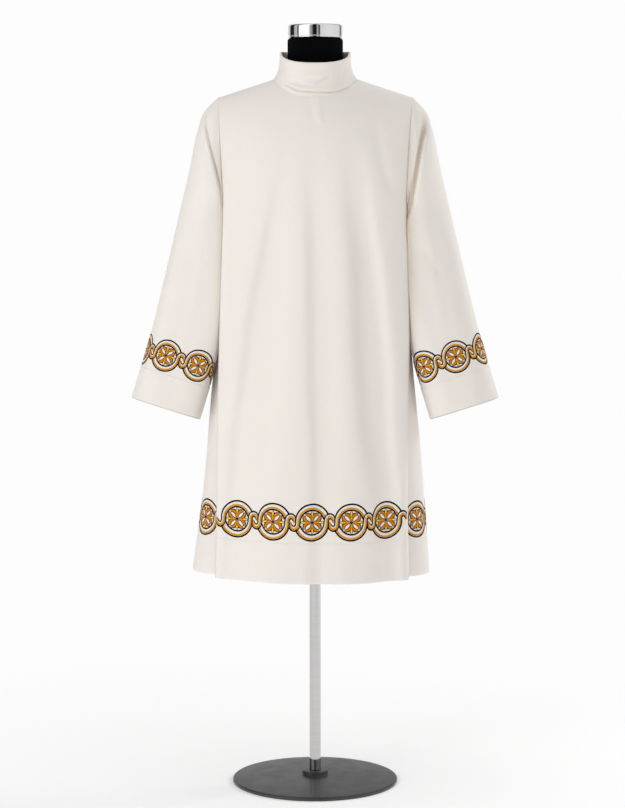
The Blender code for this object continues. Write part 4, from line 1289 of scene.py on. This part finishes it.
def weave_group():
    """Plain weave: warp and weft are rounded threads that pass over and under each other in turn.

    Height is the larger of two waves, each across its own thread and lifted and sunk along it, uneven
    from thread to thread; Shade is low between the threads; Slub is a slow unevenness along them.
    """
    found = bpy.data.node_groups.get("Plain weave")
    if found:
        return found
    group, given, out = node_group("Plain weave", [("Map", "Vector", None), ("Pitch", "Float", 0.0006)],
                                   [("Height", "Float"), ("Shade", "Float"), ("Slub", "Float")])
    x, y, _ = split(group, given.outputs["Map"])
    turn = math_node(group, "DIVIDE", math.pi, given.outputs["Pitch"])
    warp = math_node(group, "MULTIPLY", x, turn)
    weft = math_node(group, "MULTIPLY", y, turn)
    warp_sine = math_node(group, "SINE", warp)
    weft_sine = math_node(group, "SINE", weft)
    over = math_node(group, "MULTIPLY", math_node(group, "COSINE", warp), math_node(group, "COSINE", weft))
    ridges = math_node(group, "ADD", math_node(group, "MULTIPLY", warp_sine, warp_sine),
                       math_node(group, "MULTIPLY", weft_sine, weft_sine))
    height = math_node(group, "MULTIPLY_ADD", over, 0.5, math_node(group, "MULTIPLY", ridges, -0.25))
    along = noise(group, stretched(group, given.outputs["Map"], (1400.0, 60.0, 1.0)), 1.0, 2.0)
    athwart = noise(group, stretched(group, given.outputs["Map"], (60.0, 1400.0, 1.0)), 1.0, 2.0)
    slub = math_node(group, "MULTIPLY_ADD", math_node(group, "ADD", along, athwart), 0.5, 0.0)
    join(group, math_node(group, "MULTIPLY_ADD", slub, 0.6, height), out.inputs["Height"])
    join(group, math_node(group, "MULTIPLY_ADD", height, 0.5, 0.5), out.inputs["Shade"])
    join(group, slub, out.inputs["Slub"])
    return group


def satin_group():
    """Satin stitches across a strip: fine parallel threads whose lines cross the strip's length,
    a little uneven, with a sheen that changes slowly from one stretch of stitches to the next. Its Shade
    is painted sheen and shade: lighter and darker along the stitches and from stretch to stretch."""
    found = bpy.data.node_groups.get("Satin stitch")
    if found:
        return found
    group, given, out = node_group("Satin stitch", [("Map", "Vector", None), ("Pitch", "Float", 0.00045)],
                                   [("Height", "Float"), ("Shade", "Float"), ("Across", "Float")])
    x, y, _ = split(group, given.outputs["Map"])
    slow = noise(group, stretched(group, given.outputs["Map"], (420.0, 3.0, 1.0)), 1.0, 2.0)
    slant = math_node(group, "MULTIPLY_ADD", y, 0.0004, x)
    bent = math_node(group, "MULTIPLY_ADD", slow, 0.0004, slant)
    turn = math_node(group, "DIVIDE", 2 * math.pi, given.outputs["Pitch"])
    wave = math_node(group, "SINE", math_node(group, "MULTIPLY", bent, turn))
    join(group, math_node(group, "MULTIPLY_ADD", wave, 0.5, math_node(group, "MULTIPLY", slow, 0.6)),
         out.inputs["Height"])
    join(group, math_node(group, "MULTIPLY_ADD", wave, 0.18, slow), out.inputs["Shade"])
    join(group, y, out.inputs["Across"])
    return group


def new_material(name, values):
    """A material with a Principled shader whose sockets have these values, ready for its colour and
    bump."""
    material = bpy.data.materials.new(name)
    material.use_nodes = True
    tree = material.node_tree
    shader = tree.nodes["Principled BSDF"]
    for socket, value in values.items():
        shader.inputs[socket].default_value = value
    return material, tree, shader


def place_group(tree, group, vector, pitch):
    """The outputs of a node group laid on a map."""
    return add_node(tree, "Group", {"Map": vector, "Pitch": pitch}, node_tree=group).outputs


def own_map(tree, layer):
    """A piece's own map, by its name."""
    return add_node(tree, "UVMap", {}, uv_map=layer).outputs["UV"]


def own_place(tree):
    """A piece's Object coordinates."""
    return add_node(tree, "TexCoord", {}).outputs["Object"]


def bump(tree, shader, height, distance, strength):
    """Joins a Bump node of a height to a shader."""
    node = add_node(tree, "Bump", {"Strength": strength, "Distance": distance, "Height": height})
    join(tree, node.outputs["Normal"], shader.inputs["Normal"])


def scaled(colour, factor):
    """A colour made lighter or darker."""
    return (*[min(value * factor, 1.0) for value in colour[:3]], 1.0)


def cloth_material():
    """Ivory cloth in plain weave, with a soft sheen and threads that vary a little, and painted shade between
    its threads and in its hollows.
    """
    found = bpy.data.materials.get("Ivory cloth")
    if found:
        return found
    cloth = bpy.context.scene.surplice_cloth
    material, tree, shader = new_material("Ivory cloth", {
        "Sheen Weight": cloth.sheen, "Sheen Roughness": 0.45, "Specular IOR Level": 0.3,
        "Subsurface Weight": 0.20, "Subsurface Scale": cloth.depth, "Subsurface Radius": (1.0, 0.62, 0.34)})
    weave = place_group(tree, weave_group(), own_map(tree, "cloth"), cloth.weave_pitch)
    cloud = noise(tree, own_place(tree), 4.0, 4.0)
    fleck = math_node(tree, "MULTIPLY_ADD", weave["Slub"], 0.5, math_node(tree, "MULTIPLY", cloud, 0.5))
    base = mix_colour(tree, fleck, scaled(cloth.colour, 0.955), scaled(cloth.colour, 1.03))
    # painted shade: darker between the threads of the weave
    thread_gap_shade = math_node(tree, "MULTIPLY", math_node(tree, "SUBTRACT", 1.0, weave["Shade"]), 0.16)
    base = mix_colour(tree, thread_gap_shade, base, scaled(cloth.colour, 0.72))
    # painted shade: the cloth turns to the dark brown of its hollows where the shade attribute is high
    hollow = add_node(tree, "Attribute", {}, attribute_name="shade").outputs["Fac"]
    join(tree, mix_colour(tree, hollow, base, scaled(cloth.hollow, 1.0)), shader.inputs["Base Color"])
    join(tree, math_node(tree, "MULTIPLY_ADD", weave["Slub"], 0.18, 0.62), shader.inputs["Roughness"])
    bump(tree, shader, weave["Height"], 0.00010, 0.7)
    return material


def thread_material(name):
    """Embroidery thread in one colour, worked in satin stitch, with painted sheen along its stitches and
    painted shade where it dips at its edges. The gold of the ribbons carries painted shade and a painted
    highlight: brown at the black edge, bright at the white."""
    title = name.capitalize() + " thread"
    found = bpy.data.materials.get(title)
    if found:
        return found
    band = bpy.context.scene.surplice_band
    colour = getattr(band, name)
    material, tree, shader = new_material(title, {"Specular IOR Level": THREAD_SHINE[name]})
    satin = place_group(tree, satin_group(), own_map(tree, "thread"), band.stitch_pitch)
    # painted sheen and shade from the satin stitches' Shade
    base = mix_colour(tree, satin["Shade"], scaled(colour, 0.80), scaled(colour, 1.10))
    if name == "gold":
        # painted shade and highlight across the gold: brown at the black edge, pale at the white
        stops = ((0.0, scaled(band.amber, 0.22)), (0.35, scaled(colour, 0.82)), (0.72, scaled(colour, 1.05)),
                 (1.0, scaled(band.bright, 0.95)))
        base = mix_colour(tree, 0.8, base, ramp(tree, satin["Across"], stops))
    elif name in THREAD_EDGE_SHADE:
        # painted shade towards the strip's edges
        side = math_node(tree, "SUBTRACT", satin["Across"], 0.5)
        painted_edge_shade = math_node(tree, "MULTIPLY", math_node(tree, "MULTIPLY", side, side), THREAD_EDGE_SHADE[name])
        base = mix_colour(tree, painted_edge_shade, base, scaled(colour, 0.12))
    join(tree, base, shader.inputs["Base Color"])
    join(tree, math_node(tree, "MULTIPLY_ADD", satin["Shade"], 0.2, 0.4), shader.inputs["Roughness"])
    bump(tree, shader, satin["Height"], 0.00010, 0.6)
    return material


def jersey_material():
    """Black jersey stretched over the form: columns of small loops."""
    form = bpy.context.scene.surplice_form
    material, tree, shader = new_material("Black jersey", {"Sheen Weight": 0.005, "Specular IOR Level": 0.02})
    x, y, _ = split(tree, own_map(tree, "cloth"))
    columns = math_node(tree, "SINE", math_node(tree, "MULTIPLY", x, 2 * math.pi / form.loop_pitch))
    lean = math_node(tree, "MULTIPLY_ADD", columns, 0.0002, y)
    rows = math_node(tree, "SINE", math_node(tree, "MULTIPLY", lean, 2.4 * math.pi / form.loop_pitch))
    loops = math_node(tree, "MULTIPLY_ADD", rows, 0.5, columns)
    cloud = noise(tree, own_place(tree), 9.0, 4.0)
    share = math_node(tree, "MULTIPLY_ADD", loops, 0.15, cloud)
    join(tree, mix_colour(tree, share, scaled(form.jersey, 0.8), scaled(form.jersey, 1.6)),
         shader.inputs["Base Color"])
    join(tree, math_node(tree, "MULTIPLY_ADD", cloud, 0.15, 0.7), shader.inputs["Roughness"])
    bump(tree, shader, loops, 0.00012, 0.7)
    return material


def chrome_material(name, tone=1.0):
    """Polished chrome with faint wiping marks, darker where the tone is below one: a painted stand-in for the
    dark surroundings it mirrors.
    """
    form = bpy.context.scene.surplice_form
    material, tree, shader = new_material(name, {"Metallic": 1.0})
    marks = noise(tree, stretched(tree, own_place(tree), (22.0, 22.0, 160.0)), 1.0, 4.0)
    join(tree, mix_colour(tree, marks, scaled((0.78, 0.77, 0.76), tone), scaled((0.90, 0.89, 0.89), tone)),
         shader.inputs["Base Color"])
    rough = math_node(tree, "MULTIPLY_ADD", marks, 0.05, form.chrome_roughness)
    join(tree, rough, shader.inputs["Roughness"])
    bump(tree, shader, marks, 0.00002, 0.1)
    return material


def paint_material():
    """Satin black paint with a fine powder grain, duller where shoes and dust have rubbed it."""
    material, tree, shader = new_material("Satin black paint", {"Coat Weight": 0.15})
    place = own_place(tree)
    grain = noise(tree, place, 1500.0, 2.0)
    rub = noise(tree, place, 26.0, 5.0)
    join(tree, mix_colour(tree, rub, (0.012, 0.012, 0.013, 1.0), (0.045, 0.045, 0.046, 1.0)),
         shader.inputs["Base Color"])
    join(tree, math_node(tree, "MULTIPLY_ADD", rub, 0.35, 0.25), shader.inputs["Roughness"])
    bump(tree, shader, grain, 0.00008, 0.5)
    return material


def floor_material():
    """Pale seamless paper: nearly white, with a faint mottle, lit from below. Further off it looks as
    bright as the backdrop."""
    stage = bpy.context.scene.surplice_stage
    material, tree, shader = new_material("Pale floor", {
        "Roughness": 0.9, "Specular IOR Level": 0.1, "Emission Color": (1.0, 1.0, 1.0, 1.0)})
    place = own_place(tree)
    mottle = noise(tree, place, 2.5, 5.0)
    join(tree, mix_colour(tree, mottle, scaled(stage.floor, 0.985), scaled(stage.floor, 1.01)),
         shader.inputs["Base Color"])
    seen = add_node(tree, "LightPath", {}).outputs["Is Camera Ray"]
    extra = stage.near_glow - stage.glow
    join(tree, math_node(tree, "MULTIPLY_ADD", seen, extra, stage.glow), shader.inputs["Emission Strength"])
    length = add_node(tree, "VectorMath", {0: place}, operation="LENGTH").outputs["Value"]
    away = add_node(tree, "MapRange", {"Value": length, "From Min": FLOOR_NEAR, "From Max": FLOOR_FAR},
                    interpolation_type="SMOOTHSTEP").outputs["Result"]
    far = add_node(tree, "Emission", {"Color": BACKDROP}).outputs["Emission"]
    share = math_node(tree, "MULTIPLY", away, seen)
    blend = add_node(tree, "MixShader", {0: share, 1: shader.outputs["BSDF"], 2: far})
    join(tree, blend.outputs["Shader"], tree.nodes["Material Output"].inputs["Surface"])
    return material


# Settings

def number_setting(name, description, default, **limits):
    """A number of zero or more in the settings."""
    return FloatProperty(name=name, description=description, default=default, min=0.0, **limits)


def length_setting(name, description, default):
    return number_setting(name, description, default, unit="LENGTH", precision=5)


def colour_setting(name, description, default):
    return FloatVectorProperty(name=name, description=description, default=default, size=3, min=0.0, max=1.0,
                               subtype="COLOR")


class SurpliceCloth(bpy.types.PropertyGroup):
    """Sizes and finish of the cloth"""
    wall: length_setting("Wall", "Thickness of one layer of cloth", 0.0008)
    hem_wall: length_setting("Hem wall", "Thickness where the hem is turned up", 0.0014)
    weave_pitch: length_setting("Weave pitch", "Distance from thread to thread", 0.0006)
    sheen: number_setting("Sheen", "Strength of the soft sheen", 0.25, max=1.0)
    depth: length_setting("Light depth", "How far light spreads within the cloth", 0.0008)
    colour: colour_setting("Colour", "Colour of the cloth", (0.835, 0.790, 0.738))
    # painted shade: the dark brown that the cloth turns to in its hollows and creases
    hollow: colour_setting("Hollows", "Colour of the cloth deep in a crease", (0.42, 0.32, 0.19))


class SurpliceBand(bpy.types.PropertyGroup):
    """Sizes and colours of the embroidered bands"""
    pitch: length_setting("Pitch", "Distance from roundel to roundel on the body", 0.0835)
    sleeve_scale: number_setting("Sleeve scale", "Size of the sleeves' bands to the body's", 0.8625, max=2.0)
    stitch_pitch: length_setting("Stitch pitch", "Distance from thread to thread in satin stitch", 0.00045)
    white: colour_setting("White", "White thread", (0.84, 0.83, 0.81))
    gold: colour_setting("Gold", "Gold thread of the ribbons", (0.78, 0.31, 0.004))
    amber: colour_setting("Amber", "Orange thread of the arms", (0.68, 0.22, 0.002))
    bright: colour_setting("Bright", "Bright yellow thread", (0.97, 0.61, 0.07))
    black: colour_setting("Black", "Green black thread", (0.002, 0.003, 0.004))
    ground: colour_setting("Ground", "Cool white ground of the roundels", (0.80, 0.82, 0.84))


class SurpliceForm(bpy.types.PropertyGroup):
    """Finish of the dress form and its stand"""
    loop_pitch: length_setting("Loop pitch", "Distance from loop to loop of the jersey", 0.0011)
    jersey: colour_setting("Jersey", "Colour of the jersey", (0.0014, 0.0019, 0.0022))
    chrome_roughness: number_setting("Chrome roughness", "Roughness of the chrome", 0.02, max=1.0)


class SurpliceStage(bpy.types.PropertyGroup):
    """Floor, light and camera"""
    floor: colour_setting("Floor", "Colour of the floor", (0.90, 0.90, 0.90))
    glow: number_setting("Floor glow", "Brightness of the light that the floor sends up", 0.39)
    near_glow: number_setting("Near glow", "Brightness of the light of the floor as the camera sees it", 0.16)
    key: number_setting("Key light", "Power of the soft light from the left", 52.0, unit="POWER")
    rim: number_setting("Rim light", "Power of the soft light from behind on the right", 96.0, unit="POWER")
    soft: number_setting("Soft light", "Strength of the light from all round", 1.0)
    sky: number_setting("Top light", "Brightness of the light from above", 1.05)


# Operators

def finish_cloth(piece, surface_place, centres, band_middle, hem_depth, scale=1.0):
    """Adds the embroidered band of a piece and the stitches of its hem."""
    cloth = bpy.context.scene.surplice_cloth
    place, ends = surface_place
    title = piece.name.removesuffix("cloth")
    band = flat_mesh(title + "band", roundel(), centres, band_middle, scale, ends)
    lay_on(band, place, cloth.wall / 2)
    middles = np.linspace(*ends, int((ends[1] - ends[0]) / STITCH_STEP))[1:-1]
    line = flat_mesh(title + "stitches", [stitch()], middles, hem_depth - STITCH_BELOW, 1.0)
    lay_on(line, place, cloth.hem_wall / 2)
    others = [place_piece(band.name, band, [thread_material(name) for name in THREADS]),
              place_piece(line.name, line, [thread_material("white")])]


def make_panel(name, side):
    """The front or the back: cloth, band and stitches."""
    across, z = panel_grid(side)
    points = panel_surface(side)(across, z)[:, ::-side]
    piece = add_cloth(name, points, (z - HEM_HEIGHT < HEM_DEPTH)[:, ::-side])
    centres = bpy.context.scene.surplice_band.pitch * np.arange(-2, 3)
    finish_cloth(piece, panel_place(side), centres, BAND_MIDDLE, HEM_DEPTH)


def make_gore(name, side):
    """A side gore: cloth, band and stitches."""
    places = np.linspace(0, GORE_LAST, GORE_COLUMNS)
    fall = rows_with_hem(GORE_ROWS, 1.0, GORE_CLOTH_TOP - HEM_HEIGHT, HEM_DEPTH)
    z = np.broadcast_to(mix(GORE_CLOTH_TOP, HEM_HEIGHT, fall), (len(fall), GORE_COLUMNS))
    points = gore_surface(side)(places[None, :], z)[:, ::side]
    # painted shade on the gore where it lies behind the sleeves
    shade = GORE_SHADE * ease((z - GORE_SHADE_LOW) / GORE_SHADE_RISE)
    piece = add_cloth(name, points, z - HEM_HEIGHT < HEM_DEPTH, shade)
    centres = PHASES[name] + bpy.context.scene.surplice_band.pitch * np.arange(-3, 4)
    finish_cloth(piece, gore_place(side), centres, GORE_BAND_MIDDLE, HEM_DEPTH)


def make_sleeve(name, side):
    """A sleeve: a tube of cloth, band and stitches. Its columns lie closer together by a sine round
    one turn."""
    band = bpy.context.scene.surplice_band
    even = np.linspace(-1, 1, SLEEVE_COLUMNS, endpoint=False)
    turns = even - SLEEVE_CLOSE / math.pi * np.sin(math.pi * (even - SLEEVE_CLOSE_AT))
    turns = -side * (np.mod(turns + 1, 2) - 1)
    shares = rows_with_hem(SLEEVE_ROWS, 1.0, SLEEVE_LENGTH, CUFF_HEM_DEPTH)
    above = (1 - shares) * SLEEVE_LENGTH
    points = sleeve_surface(side)(turns[None, :], shares)
    # painted shade: a dark line along the cuff's turned-in edge, and the crease and hollow beside the panel's
    # edge
    rim = CUFF_EDGE_SHADE * ease((CUFF_EDGE - above) / (CUFF_EDGE / 2))
    shade = np.maximum(sleeve_shade(side, turns[None, :], points), rim)
    hem = np.broadcast_to(above < CUFF_HEM_DEPTH, points.shape[:2])
    piece = add_cloth(name, points, hem, shade, closed=True)
    middle = SLEEVE_BAND_MIDDLES[name]
    centres = PHASES[name] + band.pitch * band.sleeve_scale * np.arange(-4, 6)
    finish_cloth(piece, sleeve_place(side, middle), centres, middle, CUFF_HEM_DEPTH,
                 band.sleeve_scale)


def add_rigid(name, points, material, node):
    """A closed piece of rings, with both ends capped, in place of its solid."""
    mesh = grid_mesh(name, points, closed_columns=True, caps=True)
    mesh.set_sharp_from_angle(angle=SHARP_ANGLE)
    place_piece(name, mesh, [material], replaces=(node,))


class SURPLICE_OT_form(bpy.types.Operator):
    """Makes the dress form's torso and neck"""
    bl_idname = "surplice.form"
    bl_label = "Dress form"

    def execute(self, context):
        add_rigid("form_shape", torso_points(), jersey_material(), "form_torso")
        return {"FINISHED"}


class SURPLICE_OT_cap(bpy.types.Operator):
    """Makes the chrome cap of the neck"""
    bl_idname = "surplice.cap"
    bl_label = "Neck cap"

    def execute(self, context):
        # The lower rim: how far inside the cap's side and how far above its lower end
        rim = [(0.0, 0.0045), (CAP_BEAD, 0.004), (CAP_BEAD, 0.003), (0.0002, 0.0024), (0.0002, 0.0008),
               (0.001, 0.0), (CAP_RADIUS - AXIS, 0.0)]
        profile = [(AXIS, CAP_HIGH), (0.020, CAP_HIGH - 0.00008), (0.040, CAP_HIGH - 0.0004)]
        profile += quarter(CAP_RADIUS, CAP_HIGH - 0.0007, CAP_EDGE, 88, 0, 8)
        profile += [(CAP_RADIUS, CAP_HIGH - 0.012)]
        profile += [(CAP_RADIUS - inwards, CAP_LOW + up) for inwards, up in rim]
        chrome = chrome_material("Chrome cap")
        add_rigid("cap_chrome", turned_points(profile), chrome, "neck_cap")
        return {"FINISHED"}


class SURPLICE_OT_stand(bpy.types.Operator):
    """Makes the pole and the round base"""
    bl_idname = "surplice.stand"
    bl_label = "Pole and base"

    def execute(self, context):
        bevel = 0.001
        pole = [(AXIS, POLE_HIGH), (POLE_RADIUS - bevel, POLE_HIGH), (POLE_RADIUS, POLE_HIGH - bevel)]
        pole += [(POLE_RADIUS, mix(POLE_HIGH, POLE_LOW, share)) for share in (0.05, 0.3, 0.6, 0.95)]
        pole += [(POLE_RADIUS, POLE_LOW + bevel), (POLE_RADIUS - bevel, POLE_LOW), (AXIS, POLE_LOW)]
        # painted reflection: the pole's chrome is darkened all over, standing in for the dark surroundings it
        # would mirror
        chrome = chrome_material("Chrome pole", 0.55)
        add_rigid("pole_chrome", turned_points(pole), chrome, "pole")
        base = [(AXIS, BASE_TOP), (BASE_HUB_RADIUS - 0.005, BASE_TOP)]
        base += quarter(BASE_HUB_RADIUS, BASE_TOP, 0.003, 80, 0, 5)
        base += [(BASE_HUB_RADIUS, BASE_CROWN + 0.002), (BASE_HUB_RADIUS + 0.002, BASE_CROWN)]
        for share in np.linspace(0.1, 1.0, 8):
            radius = mix(BASE_HUB_RADIUS, BASE_RADIUS - BASE_BEND, share)
            base.append((radius, BASE_CROWN - (BASE_CROWN - BASE_RIM) * share ** 2))
        base += quarter(BASE_RADIUS, BASE_RIM, BASE_BEND, 70, 0, 6)
        base += [(BASE_RADIUS, 0.0015), (BASE_RADIUS - 0.0012, 0.0), (BASE_RADIUS - 0.02, 0.0), (AXIS, 0.0)]
        add_rigid("base_paint", turned_points(base), paint_material(), "base")
        return {"FINISHED"}


class SURPLICE_OT_front(bpy.types.Operator):
    """Makes the front with its band"""
    bl_idname = "surplice.front"
    bl_label = "Front"

    def execute(self, context):
        make_panel("front", -1)
        return {"FINISHED"}


class SURPLICE_OT_back(bpy.types.Operator):
    """Makes the back with its band"""
    bl_idname = "surplice.back"
    bl_label = "Back"

    def execute(self, context):
        make_panel("back", 1)
        return {"FINISHED"}


class SURPLICE_OT_gores(bpy.types.Operator):
    """Makes the two side gores with their bands"""
    bl_idname = "surplice.gores"
    bl_label = "Side gores"

    def execute(self, context):
        make_gore("gore_left", -1)
        make_gore("gore_right", 1)
        return {"FINISHED"}


class SURPLICE_OT_sleeves(bpy.types.Operator):
    """Makes the two sleeves with their bands"""
    bl_idname = "surplice.sleeves"
    bl_label = "Sleeves"

    def execute(self, context):
        make_sleeve("sleeve_left", -1)
        make_sleeve("sleeve_right", 1)
        return {"FINISHED"}


class SURPLICE_OT_collar(bpy.types.Operator):
    """Makes the standing collar, one cloth folded double over its top edge"""
    bl_idname = "surplice.collar"
    bl_label = "Collar"

    def execute(self, context):
        angle = np.linspace(0, 2 * math.pi, COLLAR_COLUMNS, endpoint=False)
        half = COLLAR_FOLD / 2
        rise = np.linspace(0, 1, COLLAR_ROWS)
        turns = np.radians(np.linspace(0, 180, 9))
        outer = half * (1.0 - COLLAR_WAIST * np.sin(math.pi * rise))
        widen = ease((rise - COLLAR_ROLL_START) / (1 - COLLAR_ROLL_START))
        inner = outer + 2 * (COLLAR_ROLL - half) * widen
        top = 1 - COLLAR_ROLL / COLLAR_HEIGHT
        up = [rise[::-1] * top, rise * top, top + (1 - top) * np.sin(turns[::-1])[1:-1]]
        out = [outer[::-1], -inner, half - COLLAR_ROLL + COLLAR_ROLL * np.cos(turns[::-1])[1:-1]]
        up, out = np.concatenate(up), np.concatenate(out)
        points = collar_surface(angle[None, :], up[:, None], out[:, None])
        mesh = grid_mesh("collar_cloth", points, closed_rows=True, closed_columns=True)
        # painted shade in the troughs of the creases on the collar's outer side
        sunk = -collar_creases(angle[None, :], up[:, None]) * (out[:, None] > 0)
        add_shade(mesh, COLLAR_SHADE * ease((sunk - COLLAR_SHADE_START) / COLLAR_SHADE_START))
        piece = place_piece("collar_cloth", mesh, [cloth_material()], replaces=("collar",))
        return {"FINISHED"}


class SURPLICE_OT_stage(bpy.types.Operator):
    """Makes the floor, the soft light and the camera"""
    bl_idname = "surplice.stage"
    bl_label = "Stage"

    def execute(self, context):
        stage = context.scene.surplice_stage
        steps = np.linspace(-FLOOR_REACH, FLOOR_REACH, 31)
        y, x = np.meshgrid(steps[::-1], steps, indexing="ij")
        floor = add_object("floor", grid_mesh("floor", np.stack([x, y, 0 * x - FLOOR_DROP], axis=-1)))
        floor.data.materials.append(floor_material())

        for name, spot in LIGHT_PLACES.items():
            light = bpy.data.lights.new(name, "AREA")
            light.energy = getattr(stage, name)
            light.size = LIGHT_SIZE
            lamp = add_object(name, light)
            lamp.location = spot
            lamp.visible_glossy = False
            lamp.rotation_euler = (Vector(LIGHT_AIM) - Vector(spot)).to_track_quat("-Z", "Y").to_euler()

        world = bpy.data.worlds.new("Soft light")
        world.use_nodes = True
        tree = world.node_tree
        background = tree.nodes["Background"]
        x, y, z = split(tree, add_node(tree, "TexCoord", {}).outputs["Generated"])
        angle = math_node(tree, "ARCTAN2", x, math_node(tree, "MULTIPLY", y, -1.0))
        share = math_node(tree, "MULTIPLY_ADD", angle, 0.5 / math.pi, 0.5)
        upwards = math_node(tree, "MAXIMUM", z, 0.0)
        top = math_node(tree, "MULTIPLY", upwards, upwards)
        soft = mix_colour(tree, top, grey_ramp(tree, share, SOFT_LIGHT), scaled((1.0, 1.0, 1.0), stage.sky))
        rays = add_node(tree, "LightPath", {}).outputs
        light = mix_colour(tree, rays["Is Glossy Ray"], soft, grey_ramp(tree, share, FLAGS))
        join(tree, mix_colour(tree, rays["Is Camera Ray"], light, BACKDROP), background.inputs["Color"])
        background.inputs["Strength"].default_value = stage.soft
        context.scene.world = world
        context.scene.view_settings.view_transform = "Standard"

        camera = bpy.data.cameras.new("camera")
        camera.lens = CAMERA_LENS
        camera.clip_end = 200.0
        eye = add_object("camera", camera)
        eye.location = CAMERA_PLACE
        eye.rotation_euler = (math.pi / 2 - CAMERA_TILT, 0.0, 0.0)
        context.scene.camera = eye
        return {"FINISHED"}


class SURPLICE_PT_panel(bpy.types.Panel):
    """Lists the pieces in the sidebar"""
    bl_idname = "SURPLICE_PT_panel"
    bl_label = "Surplice"
    bl_space_type = "VIEW_3D"
    bl_region_type = "UI"
    bl_category = "Surplice"

    def draw(self, context):
        for settings, kind in SETTINGS.items():
            box = self.layout.box()
            for name in kind.__annotations__:
                box.prop(getattr(context.scene, settings), name)
        for operator in OPERATORS:
            self.layout.operator(operator.bl_idname)


SETTINGS = {"surplice_cloth": SurpliceCloth, "surplice_band": SurpliceBand,
            "surplice_form": SurpliceForm, "surplice_stage": SurpliceStage}
OPERATORS = (SURPLICE_OT_form, SURPLICE_OT_cap, SURPLICE_OT_stand, SURPLICE_OT_front, SURPLICE_OT_back,
             SURPLICE_OT_gores, SURPLICE_OT_sleeves, SURPLICE_OT_collar, SURPLICE_OT_stage)


def register():
    for kind in (*SETTINGS.values(), *OPERATORS, SURPLICE_PT_panel):
        bpy.utils.register_class(kind)
    for name, kind in SETTINGS.items():
        setattr(bpy.types.Scene, name, PointerProperty(type=kind))


def unregister():
    for name in SETTINGS:
        delattr(bpy.types.Scene, name)
    for kind in (SURPLICE_PT_panel, *reversed(OPERATORS), *reversed(SETTINGS.values())):
        bpy.utils.unregister_class(kind)


def main():
    register()
    bpy.ops.surplice.form()
    bpy.ops.surplice.cap()
    bpy.ops.surplice.stand()
    bpy.ops.surplice.front()
    bpy.ops.surplice.back()
    bpy.ops.surplice.gores()
    bpy.ops.surplice.sleeves()
    bpy.ops.surplice.collar()
    bpy.ops.surplice.stage()


if __name__ == "__main__":
    main()
